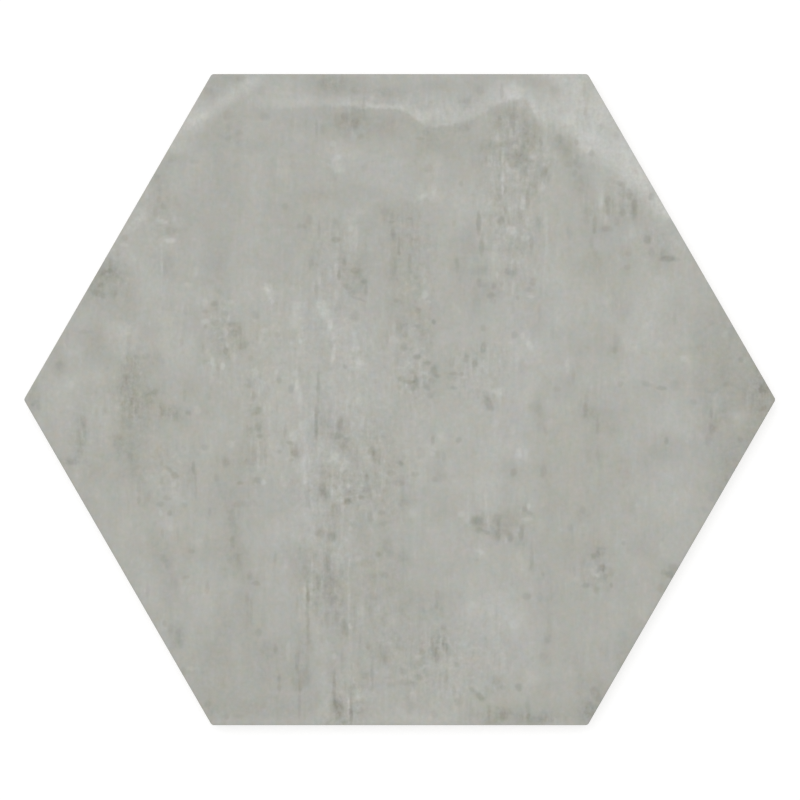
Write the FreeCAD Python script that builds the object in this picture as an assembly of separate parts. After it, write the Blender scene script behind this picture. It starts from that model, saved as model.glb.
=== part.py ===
import FreeCAD, Part
import math
import os

# Hexagon floor tile: one dust-pressed, fired porcelain piece, lying face up.
# Units are millimetres. The origin is the centre of the back, on the plane the tile rests on.
# +X points at a corner, +Y at a side, and +Z comes out of the glazed face.

# Overall size
ACROSS_FLATS = 250.0  # between two opposite sides, along Y
THICKNESS = 9.0  # from the back's ribs to the glazed face

# Pressed edge, from the face down to the back
CORNER_RADIUS = 1.5  # upright rounding of each of the six corners, seen from above
ARRIS_RADIUS = 0.7  # rounding of the face into its sides
DRAFT_HEIGHT = 4.0  # the lower side leans in below this height, so the piece leaves its mould
DRAFT_INSET = 0.3  # how far the draft has come in at the back
FOOT_CHAMFER = 0.8  # bevel between the draft and the back

# Key relief on the back: a honeycomb of shallow cells that the adhesive grips
CELL_RINGS = 8  # rings of cells around the middle one
RIM_WIDTH = 10.0  # plain rim between the honeycomb and the tile's sides, at its narrowest
RIB_WIDTH = 2.6  # flat land left between two cells
KEY_DEPTH = 0.7  # from the ribs up to a cell's floor
CELL_DRAFT_DEG = 20.0  # lean of a cell's walls

SIDES = 6
HALF_TURN_STEP_DEG = 180.0 / SIDES
APOTHEM = ACROSS_FLATS / 2
CORNER_PER_FLAT = 1 / math.cos(math.radians(HALF_TURN_STEP_DEG))  # corner reach over flat reach


def hexagon(apothem, z, centre=(0.0, 0.0), first_corner_deg=0.0):
    """Closed wire of a regular hexagon with the given reach to its flats."""
    reach = apothem * CORNER_PER_FLAT
    corners = []
    for side in range(SIDES):
        angle = math.radians(first_corner_deg + side * 360.0 / SIDES)
        corners.append(FreeCAD.Vector(
            centre[0] + reach * math.cos(angle),
            centre[1] + reach * math.sin(angle),
            z,
        ))
    return Part.makePolygon(corners + corners[:1])


def frustum(lower, upper):
    """Solid between two hexagon wires of one orientation, with six flat sides."""
    faces = [Part.Face(lower), Part.Face(upper)]
    low = [vertex.Point for vertex in lower.OrderedVertexes]
    high = [vertex.Point for vertex in upper.OrderedVertexes]
    for side in range(SIDES):
        after = (side + 1) % SIDES
        ring = [low[side], low[after], high[after], high[side], low[side]]
        faces.append(Part.Face(Part.makePolygon(ring)))
    solid = Part.Solid(Part.Shell(faces))
    return solid if solid.Volume > 0 else solid.reversed()


def is_upright(edge):
    """True for an edge that runs along Z."""
    start, end = (vertex.Point for vertex in edge.Vertexes)
    return abs(start.z - end.z) > 1e-6


def on_level(shape, z):
    """The edges of a shape that lie flat at height z."""
    return [
        edge for edge in shape.Edges
        if abs(edge.BoundBox.ZMin - z) < 1e-6 and abs(edge.BoundBox.ZMax - z) < 1e-6
    ]


def pressed_blank():
    """The tile before its back is keyed: rounded corners and face, drafted and bevelled foot."""
    prism = Part.Face(hexagon(APOTHEM, 0.0)).extrude(FreeCAD.Vector(0, 0, THICKNESS))
    rounded = prism.makeFillet(CORNER_RADIUS, [edge for edge in prism.Edges if is_upright(edge)])
    eased = rounded.makeFillet(ARRIS_RADIUS, on_level(rounded, THICKNESS))
    drafted = eased.common(lean_in(DRAFT_INSET, DRAFT_HEIGHT))
    return drafted.common(lean_in(DRAFT_INSET + FOOT_CHAMFER, foot_rise()))


def foot_rise():
    """Height at which a 45 degree bevel of the foot would meet the upright side."""
    return DRAFT_INSET + FOOT_CHAMFER


def lean_in(inset, rise):
    """A hexagonal funnel that is narrower than the tile by inset at the back, and
    as wide as the tile at the given rise."""
    slope = inset / rise
    top = APOTHEM - inset + slope * THICKNESS
    return frustum(hexagon(APOTHEM - inset, 0.0), hexagon(top, THICKNESS))


def cell_pitch():
    """Distance between the middles of two neighbouring cells, at which the rings fill the rim.

    The way from the tile's centre to the rim is one row of cells for each ring, then the
    outermost cell's own reach to its corner, which is half a pitch less half a rib to its flat.
    """
    way = APOTHEM - RIM_WIDTH
    return (way + RIB_WIDTH / 2 * CORNER_PER_FLAT) / (
        CELL_RINGS / CORNER_PER_FLAT + CORNER_PER_FLAT / 2
    )


def cell_centres():
    """Middles of the honeycomb's cells: whole rings around a cell at the tile's centre."""
    pitch = cell_pitch()
    centres = []
    for row in range(-CELL_RINGS, CELL_RINGS + 1):
        cells = 2 * CELL_RINGS + 1 - abs(row)
        for cell in range(cells):
            centres.append(((cell - (cells - 1) / 2) * pitch, row * pitch / CORNER_PER_FLAT))
    return centres


def key_cell(centre):
    """One cell as a solid to cut away: a low hexagonal pyramid with its tip cut off."""
    mouth = (cell_pitch() - RIB_WIDTH) / 2
    floor = mouth - KEY_DEPTH * math.tan(math.radians(CELL_DRAFT_DEG))
    turned = HALF_TURN_STEP_DEG
    return frustum(
        hexagon(mouth, 0.0, centre, turned),
        hexagon(floor, KEY_DEPTH, centre, turned),
    )


def hexagon_tile():
    """The whole tile, keyed on its back."""
    cells = Part.makeCompound([key_cell(centre) for centre in cell_centres()])
    return pressed_blank().cut(cells)


def main():
    os.makedirs("parts", exist_ok=True)
    tile = hexagon_tile()
    tile.exportStep("parts/hexagon_tile.step")
    box = tile.optimalBoundingBox(False)
    print("solids", len(tile.Solids), "faces", len(tile.Faces), "valid", tile.isValid())
    print("size", round(box.XLength, 3), round(box.YLength, 3), round(box.ZLength, 3))
    print("volume", round(tile.Volume, 1))
    print("cells", len(cell_centres()), "pitch", round(cell_pitch(), 3))


main()
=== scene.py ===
"""Dresses the hexagon floor tile: a matt concrete-look glaze on a keyed porcelain body.

The tile is one fired piece, so one closed mesh stands for it: a finely divided face with a
shallow relief, the rounded arris, the drafted sides and the honeycomb that the adhesive grips.
The concrete print is drawn by listed marks. The mesh's points hold the broad ones, its
faces hold the small ones, and the glaze's shader nodes lay noise over both.
"""

import logging
import math
from dataclasses import dataclass
from enum import Enum

import bmesh
import bpy
import numpy as np
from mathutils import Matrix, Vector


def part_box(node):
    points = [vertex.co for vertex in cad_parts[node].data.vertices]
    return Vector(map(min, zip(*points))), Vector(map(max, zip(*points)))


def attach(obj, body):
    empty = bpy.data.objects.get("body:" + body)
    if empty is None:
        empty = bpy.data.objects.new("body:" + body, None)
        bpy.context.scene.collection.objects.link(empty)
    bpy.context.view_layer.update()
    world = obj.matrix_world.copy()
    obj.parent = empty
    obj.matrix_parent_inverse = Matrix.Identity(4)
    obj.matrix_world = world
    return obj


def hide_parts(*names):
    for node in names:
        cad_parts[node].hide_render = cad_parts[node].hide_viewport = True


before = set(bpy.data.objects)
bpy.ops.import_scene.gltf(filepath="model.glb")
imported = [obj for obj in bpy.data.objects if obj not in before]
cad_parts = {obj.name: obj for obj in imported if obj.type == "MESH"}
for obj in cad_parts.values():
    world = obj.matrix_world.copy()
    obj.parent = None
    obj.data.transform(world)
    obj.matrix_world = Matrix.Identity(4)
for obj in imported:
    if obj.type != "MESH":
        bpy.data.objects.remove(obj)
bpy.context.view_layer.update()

LOG = logging.getLogger("hexagon_tile")
NODE = "hexagon_tile"
BODY = "root"
SLOT = "concrete_glaze"
MM = 0.001
SIDES = 6
CORNER_PER_FLAT = 1 / math.cos(math.pi / SIDES)  # a hexagon's corner reach over its flat reach

Colour = tuple[float, float, float, float]
Point = tuple[float, float]
Socket = bpy.types.NodeSocket


def linear(red: float, green: float, blue: float) -> Colour:
    """Linear colour of an 8-bit display colour.

    Args:
        red: Red from 0 to 255.
        green: Green from 0 to 255.
        blue: Blue from 0 to 255.

    Returns:
        The scene-linear colour with an alpha of 1.
    """
    def channel(value: float) -> float:
        """One channel, from display to linear."""
        share = value / 255
        return share / 12.92 if share <= 0.04045 else ((share + 0.055) / 1.055) ** 2.4

    return channel(red), channel(green), channel(blue), 1.0


def side_turn(side: int) -> float:
    """Heading of one of the hexagon's sides, in radians from +X."""
    return math.pi / SIDES * (2 * side + 1)


def vectors(parts: bpy.types.bpy_prop_collection, field: str) -> np.ndarray:
    """Reads one vector of every point or face of a mesh.

    Args:
        parts: The mesh's points or faces.
        field: Name of the vector.

    Returns:
        One row of three values for each part.
    """
    values = np.zeros(len(parts) * 3)
    parts.foreach_get(field, values)
    return values.reshape(-1, 3)


def counts(parts: bpy.types.bpy_prop_collection, field: str) -> np.ndarray:
    """Reads one whole number of every part of a mesh.

    Args:
        parts: The mesh's faces or face corners.
        field: Name of the number.

    Returns:
        One number for each part.
    """
    values = np.zeros(len(parts), int)
    parts.foreach_get(field, values)
    return values


@dataclass(frozen=True)
class PhotoFrame:
    """Where the tile lies in the photograph, which is 800 pixels wide and high."""

    side_px: float = 800.0
    centre_px: Point = (399.7, 399.6)
    px_per_mm: Point = (2.613, 2.601)  # the picture is drawn half a percent too wide
    view_px_per_mm: float = 2.606  # a value between the two, for the camera

    def on_tile(self, place_px: Point) -> Point:
        """Turns a place in the picture into one on the tile.

        Args:
            place_px: Pixels from the left and from the top.

        Returns:
            Millimetres from the tile's centre, along X and Y.
        """
        across = (place_px[0] - self.centre_px[0]) / self.px_per_mm[0]
        up = (self.centre_px[1] - place_px[1]) / self.px_per_mm[1]
        return across, up


PHOTO = PhotoFrame()


# Node trees

class Graph:
    """A node tree in the making, with a call for each kind of step."""

    def __init__(self, tree: bpy.types.NodeTree) -> None:
        """Starts on an emptied tree."""
        self.tree = tree
        tree.nodes.clear()

    def add(self, kind: str, values: dict | None = None, **settings) -> bpy.types.Node:
        """Adds a node.

        Args:
            kind: The node's type.
            values: Input name or number to a plain value, or to the output that feeds it.
            **settings: Properties of the node itself.

        Returns:
            The new node.
        """
        node = self.tree.nodes.new(kind)
        for name, value in settings.items():
            setattr(node, name, value)
        for name, value in (values or {}).items():
            self.feed(node.inputs[name], value)
        return node

    def feed(self, socket: Socket, value: object) -> None:
        """Links an output to a socket, or sets the socket's own value.

        Args:
            socket: The input.
            value: An output or a plain value.
        """
        if isinstance(value, Socket):
            self.tree.links.new(value, socket)
        else:
            socket.default_value = value

    def math(self, step: str, *values: object) -> Socket:
        """Result of a Math node on the given values."""
        return self.add("ShaderNodeMath", dict(enumerate(values)), operation=step).outputs[0]

    def vector(self, step: str, *values: object) -> Socket:
        """Vector result of a Vector Math node on the given values."""
        node = self.add("ShaderNodeVectorMath", dict(enumerate(values)), operation=step)
        return node.outputs["Vector"]

    def length(self, value: Socket) -> Socket:
        """Length of a vector."""
        node = self.add("ShaderNodeVectorMath", {0: value}, operation="LENGTH")
        return node.outputs["Value"]

    def dot(self, first: Socket, second: object) -> Socket:
        """Dot product of two vectors."""
        node = self.add("ShaderNodeVectorMath", {0: first, 1: second}, operation="DOT_PRODUCT")
        return node.outputs["Value"]

    def split(self, value: Socket) -> bpy.types.NodeOutputs:
        """The X, Y and Z of a vector."""
        return self.add("ShaderNodeSeparateXYZ", {0: value}).outputs

    def join(self, x: object = 0.0, y: object = 0.0, z: object = 0.0) -> Socket:
        """A vector of three values."""
        return self.add("ShaderNodeCombineXYZ", {0: x, 1: y, 2: z}).outputs[0]

    def above(self, value: Socket, limit: object) -> Socket:
        """Whether a value is greater than a limit."""
        node = self.add("FunctionNodeCompare", {0: value, 1: limit}, operation="GREATER_THAN")
        return node.outputs[0]

    def step(self, value: object, start: object, end: object, low: object = 0.0,
             high: object = 1.0) -> Socket:
        """Smooth step of a value.

        Args:
            value: What is mapped.
            start: Where the step starts.
            end: Where it ends.
            low: Result before the start.
            high: Result past the end.

        Returns:
            The stepped value.
        """
        values = {"Value": value, "From Min": start, "From Max": end, "To Min": low,
                  "To Max": high}
        node = self.add("ShaderNodeMapRange", values, interpolation_type="SMOOTHSTEP")
        return node.outputs["Result"]

    def blend(self, share: object, first: object, second: object) -> Socket:
        """Colour between two colours."""
        values = {"Factor": share, 6: first, 7: second}
        return self.add("ShaderNodeMix", values, data_type="RGBA").outputs[2]

    def noise(self, place: Socket, grain: float, octaves: float = 0.0,
              keep: float = 0.5) -> bpy.types.NodeOutputs:
        """Flat Noise Texture whose largest spots are about one grain wide.

        Args:
            place: Where it is read.
            grain: Size of its largest spots, in the unit of the place.
            octaves: How many finer layers it has.
            keep: How much of a layer's strength the next finer one keeps.

        Returns:
            The texture's value and colour.
        """
        values = {"Vector": place, "Scale": 1 / grain, "Detail": octaves, "Roughness": keep}
        return self.add("ShaderNodeTexNoise", values, noise_dimensions="2D").outputs

    def curve(self, value: Socket, points: list[Point]) -> Socket:
        """Free curve through given points.

        Args:
            value: What is looked up, from 0 to 1.
            points: The curve's points, both numbers from 0 to 1, from left to right.

        Returns:
            The curve's height.
        """
        node = self.add("ShaderNodeFloatCurve", {"Value": value})
        line = node.mapping.curves[0]
        line.points[0].location = points[0]
        line.points[1].location = points[-1]
        for point in points[1:-1]:
            line.points.new(*point)
        node.mapping.update()
        return node.outputs[0]

    def stored(self, name: str, output: str = "Fac") -> Socket:
        """What the mesh holds under a name."""
        return self.add("ShaderNodeAttribute", attribute_name=name).outputs[output]

    def group(self, tree: bpy.types.NodeTree, values: dict) -> bpy.types.NodeOutputs:
        """Outputs of a shader node group that is fed with the given values."""
        return self.add("ShaderNodeGroup", values, node_tree=tree).outputs

    def dressed(self, geometry: Socket, material: Socket, picked: object = True) -> Socket:
        """Geometry whose picked faces have a material."""
        values = {"Geometry": geometry, "Selection": picked, "Material": material}
        return self.add("GeometryNodeSetMaterial", values).outputs[0]

    def seen(self) -> Socket:
        """Marks the rays that show a thing to the eye, straight or by a reflection.

        Returns:
            1 for such a ray, and otherwise 0.
        """
        ray = self.add("ShaderNodeLightPath").outputs
        bent = self.math("MAXIMUM", ray["Is Glossy Ray"], ray["Is Transmission Ray"])
        return self.math("MAXIMUM", ray["Is Camera Ray"], bent)


class SocketKind(Enum):
    """Kinds of socket that the groups have."""

    FLOAT = "NodeSocketFloat"
    INT = "NodeSocketInt"
    VECTOR = "NodeSocketVector"
    COLOUR = "NodeSocketColor"
    GEOMETRY = "NodeSocketGeometry"
    MATERIAL = "NodeSocketMaterial"


class NodeGroup:
    """A named node group with typed inputs and outputs."""

    def __init__(self, name: str, tree_type: str, inputs: dict[str, SocketKind],
                 outputs: dict[str, SocketKind]) -> None:
        """Makes the empty group.

        Args:
            name: The group's name.
            tree_type: Type of its tree.
            inputs: Input names and kinds.
            outputs: Output names and kinds.
        """
        self.tree = bpy.data.node_groups.new(name, tree_type)
        self.graph = Graph(self.tree)
        for side, sockets in (("INPUT", inputs), ("OUTPUT", outputs)):
            for socket_name, kind in sockets.items():
                self.tree.interface.new_socket(
                    name=socket_name, in_out=side, socket_type=kind.value)
        self.given = self.graph.add("NodeGroupInput").outputs
        self.result = self.graph.add("NodeGroupOutput").inputs

    def finish(self, **results: Socket) -> bpy.types.NodeTree:
        """Feeds the group's outputs.

        Args:
            **results: Output name to what feeds it.

        Returns:
            The finished tree.
        """
        for name, value in results.items():
            self.graph.feed(self.result[name], value)
        return self.tree

    def make(self, name: str, carrier: bpy.types.Mesh, values: dict[str, object]
             ) -> bpy.types.Mesh:
        """Runs a geometry group on a carrier mesh.

        Args:
            name: Name of the new mesh.
            carrier: Mesh that the group starts from.
            values: Input name to value.

        Returns:
            The result as a plain mesh, with every instance realized.
        """
        self.tree.is_modifier = True
        thing = bpy.data.objects.new(name, carrier)
        bpy.context.scene.collection.objects.link(thing)
        modifier = thing.modifiers.new(name, "NODES")
        modifier.node_group = self.tree
        for item in self.tree.interface.items_tree:
            if item.in_out == "INPUT" and item.name in values:
                modifier[item.identifier] = values[item.name]
        graph = bpy.context.evaluated_depsgraph_get()
        mesh = bpy.data.meshes.new_from_object(thing.evaluated_get(graph))
        mesh.name = name
        thing.modifiers.remove(modifier)
        bpy.data.objects.remove(thing)
        return mesh


# The print, as it lies in the photograph

class Layer(Enum):
    """What a mark on the print adds."""

    CLOUD = "print_clouds"  # soft lightness
    STAIN = "print_stains"  # grainy lightness, dark as a stain or pale as a wash
    WARMTH = "print_warmth"  # warmer grey, or cooler below nothing
    GRAIN = "print_grain"  # stronger grain and upright trowel streaks
    FLECK = "fleck"  # small firm lightness, which the faces that it touches hold


@dataclass(frozen=True)
class LayerStyle:
    """How the marks of one layer are drawn."""

    strength: float  # what every mark's tone is multiplied by
    edge: float  # share of a mark's reach over which it fades, each way
    drift: float = 0.0  # how far broad noise pushes its outline, mm
    ragged: float = 0.0  # how far fine noise pushes its outline, mm


STYLES = {
    Layer.CLOUD: LayerStyle(strength=1.2, edge=0.9, drift=2.5, ragged=2.0),
    Layer.STAIN: LayerStyle(strength=1.1, edge=0.6, drift=1.0, ragged=3.0),
    Layer.WARMTH: LayerStyle(strength=1.0, edge=0.5, drift=12.0, ragged=8.0),
    Layer.GRAIN: LayerStyle(strength=1.0, edge=0.8, drift=6.0, ragged=2.0),
    Layer.FLECK: LayerStyle(strength=1.08, edge=0.5, ragged=0.9),
}


@dataclass(frozen=True)
class Mark:
    """A soft-edged oval of the print, as it lies in the photograph's frame."""

    layer: Layer
    x_px: float
    y_px: float
    wide_px: float  # half its width
    high_px: float  # half its height
    tone: float  # steps of an 8-bit grey that it adds, or the layer's own strength
    turn: float = 0.0  # degrees, anticlockwise on the page

    @property
    def middle_mm(self) -> Point:
        """Its middle on the tile."""
        return PHOTO.on_tile((self.x_px, self.y_px))

    @property
    def half_mm(self) -> Point:
        """Half its width and half its height."""
        return self.wide_px / PHOTO.view_px_per_mm, self.high_px / PHOTO.view_px_per_mm

    @property
    def ways(self) -> np.ndarray:
        """Directions of its width and of its height."""
        turn = math.radians(self.turn)
        return np.array(((math.cos(turn), math.sin(turn)), (-math.sin(turn), math.cos(turn))))


def marks(layer: Layer, *rows: tuple) -> list[Mark]:
    """Marks of one layer, each row in the order of a mark's other fields."""
    return [Mark(layer, *row) for row in rows]


DARK_CLOUDS = marks(
    Layer.CLOUD,
    # along the top
    (226, 78, 18, 6, -6), (210, 90, 9, 9, -4), (332, 83, 28, 10, -8), (387, 91, 14, 7, -4),
    (392, 86, 30, 10, -2.5), (438, 86, 16, 7, -4), (478, 84, 9, 8, -4), (540, 82, 14, 7, -8),
    (555, 92, 9, 5, -4), (588, 86, 7, 10, -5), (612, 130, 10, 8, -4),
    # under the tide line
    (372, 126, 50, 13, -5), (228, 126, 11, 16, -5), (450, 145, 26, 12, -3.5), (428, 145, 9, 8, -3),
    (487, 146, 9, 10, -4), (515, 140, 22, 28, -3.5), (560, 144, 10, 10, -4), (570, 158, 8, 12, -5),
    (582, 185, 9, 16, -4.5), (590, 215, 8, 15, -3), (603, 230, 14, 7, -4.5), (628, 208, 9, 12, -4),
    # upper left
    (219, 150, 16, 25, -3.5), (221, 200, 12, 30, -2), (216, 258, 11, 22, -4.5),
    (222, 290, 7, 12, -3), (160, 190, 7, 22, -4.5), (173, 161, 9, 8, -4), (170, 229, 10, 6, -4),
    (110, 278, 18, 20, -6), (124, 308, 12, 14, -3.5), (168, 269, 8, 12, -3.5),
    (252, 147, 18, 7, -2.5), (306, 150, 6, 8, -3), (290, 215, 16, 30, -3), (306, 224, 5, 8, -4),
    (336, 226, 5, 8, -3.5), (311, 262, 5, 14, -3.5), (344, 262, 6, 18, -4), (357, 275, 12, 14, -4),
    (372, 230, 6, 12, -4), (398, 212, 20, 9, -3.5), (400, 250, 16, 30, -4), (395, 272, 9, 12, -3.5),
    (415, 275, 10, 15, -3), (403, 318, 12, 22, -5), (400, 292, 12, 10, -3), (215, 308, 7, 8, -4),
    (232, 330, 9, 9, -4), (240, 346, 7, 8, -5), (222, 350, 6, 8, -4), (192, 312, 7, 9, -2.5),
    (86, 331, 10, 7, -3.5), (98, 341, 7, 8, -3.5), (100, 360, 14, 12, -2), (60, 366, 8, 9, -5),
    (34, 404, 9, 8, -6), (140, 372, 22, 26, -3.5), (190, 387, 10, 10, -3.5), (258, 360, 9, 6, -2.5),
    # upper right
    (460, 262, 7, 14, -3), (485, 285, 10, 7, -4), (478, 305, 10, 18, -3.5), (485, 330, 6, 12, -3),
    (511, 273, 9, 7, -4.5), (482, 268, 10, 6, -3.5), (516, 248, 7, 8, -4), (536, 222, 6, 10, -3.5),
    (530, 190, 9, 6, -3), (597, 264, 11, 10, -4), (580, 250, 20, 22, -2), (629, 262, 7, 14, -3.5),
    (622, 310, 7, 8, -3.5), (600, 345, 20, 14, -2), (616, 349, 6, 9, -5), (560, 392, 18, 10, -2),
    (588, 412, 9, 9, -4.5), (600, 425, 18, 18, -4), (540, 412, 9, 14, -4.5), (665, 335, 8, 8, -3),
    (425, 374, 26, 15, -2), (425, 330, 9, 12, -3),
    # right corner
    (732, 385, 42, 66, -6.5), (702, 350, 10, 10, -2), (706, 322, 14, 20, -3),
    (730, 345, 16, 12, -1.5), (728, 375, 12, 14, -2), (755, 372, 12, 12, -4),
    (712, 425, 12, 20, -2.5), (735, 440, 12, 16, -5), (725, 465, 14, 16, -6),
    (715, 490, 12, 12, -5),
    # broad shades
    (110, 478, 56, 34, -2.2), (230, 600, 95, 60, -1.2), (330, 662, 70, 24, -3.2),
    (374, 562, 20, 34, -4), (285, 566, 18, 18, -2.6), (200, 338, 20, 14, -2.6),
    (102, 330, 14, 12, -2.6), (175, 214, 22, 14, -2.4), (322, 112, 22, 10, -2.6),
    (270, 108, 26, 14, -1.8), (370, 166, 12, 12, -1.2), (470, 246, 14, 16, -2.8),
    (507, 217, 10, 14, -2.4), (615, 230, 16, 18, -3), (447, 352, 14, 16, -2.2),
    (427, 315, 14, 24, -1.8), (655, 480, 24, 20, -2.2), (606, 590, 18, 22, -2.4),
    (770, 402, 9, 20, -5), (602, 690, 14, 18, -3.5), (190, 686, 14, 24, -3), (238, 711, 25, 11, -5),
    (92, 292, 14, 22, -2.4), (345, 270, 50, 40, -1.4), (215, 190, 60, 26, -1.2),
    (445, 660, 20, 18, -2.6), (530, 540, 20, 14, -1.8), (232, 430, 26, 22, -1.8),
    (410, 180, 18, 12, -1.6), (165, 412, 20, 14, -1.5), (55, 350, 10, 24, -1.6),
    (450, 570, 26, 14, -1.5), (312, 430, 9, 10, -2), (315, 500, 14, 10, -1.8),
    # small shades
    (200, 150, 8, 5, -2.5), (488, 660, 6, 7, -2.5), (534, 676, 6, 6, -2.5), (482, 694, 12, 6, -2.5),
    (505, 717, 9, 4, -3), (624, 532, 6, 7, -2.5), (415, 112, 6, 6, -2.5), (563, 117, 8, 5, -3),
    (592, 90, 5, 8, -4.5), (370, 167, 6, 7, -2.5), (541, 163, 3, 7, -3.5), (481, 191, 4, 9, -3),
    (457, 163, 4, 9, -2.5), (161, 237, 8, 4, -2.5), (475, 248, 4, 5, -3), (603, 282, 5, 7, -3),
    (532, 289, 6, 5, -3), (281, 336, 9, 9, -2), (252, 386, 6, 5, -3), (345, 428, 4, 6, -3),
    (375, 442, 4, 18, -3, 28), (686, 423, 5, 8, -3), (324, 541, 5, 5, -3), (222, 552, 14, 11, -2.2),
    (322, 500, 17, 6, -3), (365, 592, 14, 22, -2), (440, 608, 20, 15, -3.6),
    (492, 522, 14, 10, -2.2), (480, 549, 8, 6, -3), (560, 475, 16, 16, -1.8),
    (515, 425, 14, 15, -1.8), (440, 145, 14, 12, -1.8), (350, 130, 24, 10, -1.8),
    (370, 98, 10, 9, -2.2), (665, 268, 16, 9, -2), (232, 264, 17, 13, -2), (421, 320, 6, 15, -2),
    (520, 112, 9, 10, -3), (300, 457, 6, 6, -3), (675, 422, 12, 8, -2), (370, 710, 16, 7, -2),
    (300, 560, 12, 8, -2), (145, 551, 12, 9, -2), (546, 99, 15, 6, -3), (500, 130, 5, 8, -2.5),
    (480, 165, 8, 8, -2), (500, 295, 8, 5, -3), (225, 335, 6, 7, -3), (390, 340, 6, 7, -2.5),
    (480, 345, 6, 7, -2.5), (345, 440, 8, 8, -2.5), (708, 429, 6, 9, -4), (325, 540, 6, 9, -3),
    (355, 510, 6, 9, -2.5), (426, 630, 9, 6, -2.5), (440, 655, 6, 9, -2.5), (335, 665, 6, 9, -2.5),
    (260, 710, 18, 6, -2), (420, 705, 8, 8, -2), (588, 715, 11, 6, -5), (755, 430, 7, 9, -4),
    (551, 516, 4, 12, -2.5), (456, 345, 20, 9, -4), (393, 344, 8, 5, -2.5), (520, 374, 8, 10, -5.5),
    (504, 392, 12, 12, -1.5), (526, 510, 10, 8, -3), (490, 527, 12, 9, -3),
    (640, 334, 11, 11, -3.5), (418, 240, 10, 9, -3), (522, 205, 8, 8, -2), (437, 123, 6, 6, -10),
    (463, 122, 10, 7, -5), (503, 122, 8, 14, -2.5), (588, 128, 10, 24, -2), (620, 137, 8, 10, -2.5),
    (618, 167, 8, 8, -2.5), (122, 256, 9, 9, -2.5), (320, 196, 17, 7, -5), (365, 191, 16, 6, -3.2),
    (342, 131, 8, 7, -3), (254, 153, 8, 7, -2.5), (286, 140, 8, 6, -2), (315, 107, 14, 8, -2),
    (99, 431, 5, 17, -4), (300, 457, 10, 6, -2), (168, 415, 8, 8, -2), (135, 408, 8, 9, -3),
    (150, 430, 8, 16, -1.5), (340, 445, 12, 20, -2), (352, 415, 20, 8, -2), (379, 408, 6, 8, -4),
    (403, 380, 6, 14, -1.5), (436, 640, 9, 8, -3), (505, 662, 6, 14, -3), (503, 610, 8, 10, -1.5),
    (328, 530, 5, 9, -2.5), (362, 557, 8, 6, -2.5), (262, 600, 12, 10, -2), (212, 495, 8, 20, -1.5),
    (262, 520, 16, 14, -1.5), (180, 520, 16, 10, -1), (475, 474, 16, 10, -2),
    (672, 504, 22, 8, -1.8), (685, 342, 14, 10, -1.2), (692, 285, 8, 16, -2.5),
    (437, 415, 6, 20, -2), (90, 350, 10, 16, -2), (70, 335, 8, 12, -2), (325, 350, 8, 20, -1.5),
    (306, 330, 4, 10, -2), (485, 297, 12, 6, -2), (380, 262, 6, 14, -2), (552, 85, 14, 10, -1.5),
    (490, 695, 14, 5, -3), (385, 705, 14, 10, -2.5), (555, 695, 10, 20, -1.5),
    (575, 665, 14, 24, -1), (594, 618, 6, 12, -2), (270, 710, 20, 6, -1.5), (655, 260, 8, 14, -1.5),
    (632, 222, 10, 8, -1.5), (580, 360, 8, 16, -1.5), (450, 532, 4, 8, -2), (185, 275, 14, 6, -1.5),
    (515, 91, 13, 8, -2.5), (550, 96, 12, 8, -1.5), (418, 106, 8, 6, -2.5),
    (480, 160, 10, 10, -2.5), (540, 152, 5, 12, -2.5), (418, 255, 14, 16, -1.5),
    (422, 220, 8, 6, -2), (347, 238, 8, 8, -2), (655, 196, 6, 6, -5), (670, 260, 6, 8, -2),
    (148, 335, 10, 10, -2.5), (122, 290, 8, 8, -2), (75, 345, 6, 6, -2), (96, 278, 5, 10, -4),
    (521, 333, 8, 6, -2), (402, 392, 10, 6, -2), (410, 350, 8, 5, -2), (427, 372, 5, 10, -2),
    (316, 352, 5, 14, -2), (222, 615, 12, 10, -3), (225, 575, 12, 8, -2), (160, 575, 10, 10, -2),
    (180, 545, 12, 8, -1.5), (213, 512, 8, 10, -2), (260, 487, 12, 8, -2), (335, 602, 7, 7, -2.5),
    (350, 478, 5, 8, -3), (442, 642, 9, 7, -2.5), (390, 607, 20, 6, -1.5), (360, 690, 6, 8, -2),
    (413, 706, 7, 8, -5.2), (505, 538, 12, 8, -2), (570, 560, 6, 10, -2), (537, 668, 8, 10, -2),
    (607, 432, 8, 8, -2), (632, 348, 14, 12, -1.5), (748, 434, 7, 14, -5), (762, 415, 8, 8, -4),
    (735, 411, 12, 5, -3.5), (767, 383, 7, 9, -6.5), (730, 465, 10, 10, -3), (135, 414, 12, 6, -2),
    (176, 412, 10, 8, -2), (77, 422, 5, 9, -3), (337, 708, 5, 12, -4),
    # lower left
    (136, 412, 22, 34, -3.5), (128, 442, 13, 22, -5), (140, 470, 10, 12, -4.5),
    (96, 470, 9, 12, -2.5), (125, 478, 9, 9, -2.5), (193, 468, 5, 14, -4.5),
    (195, 490, 6, 10, -2.5), (224, 462, 8, 7, -5), (240, 460, 10, 8, -4), (234, 488, 13, 20, -5),
    (231, 532, 8, 28, -6), (239, 564, 9, 12, -6), (250, 582, 9, 6, -5), (245, 605, 8, 16, -4.5),
    (248, 625, 10, 14, -3.5), (163, 556, 9, 14, -5), (190, 552, 8, 7, -3.5), (155, 535, 10, 12, -3),
    (170, 590, 8, 16, -2.5), (157, 612, 8, 8, -2.5), (213, 545, 10, 9, -2.5),
    (175, 636, 8, 11, -5.5), (225, 650, 26, 18, -4.5), (212, 655, 10, 12, -3),
    (272, 650, 14, 10, -5), (250, 680, 42, 22, -4.5), (210, 700, 12, 14, -5),
    (290, 700, 20, 16, -3.5), (225, 620, 14, 14, -2.5), (304, 640, 9, 16, -5),
    (303, 675, 10, 13, -5.8), (308, 700, 10, 14, -3), (305, 564, 8, 18, -4.5),
    (312, 600, 10, 20, -3.5), (256, 420, 8, 14, -4), (258, 450, 5, 12, -4), (256, 482, 4, 8, -3.5),
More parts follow.
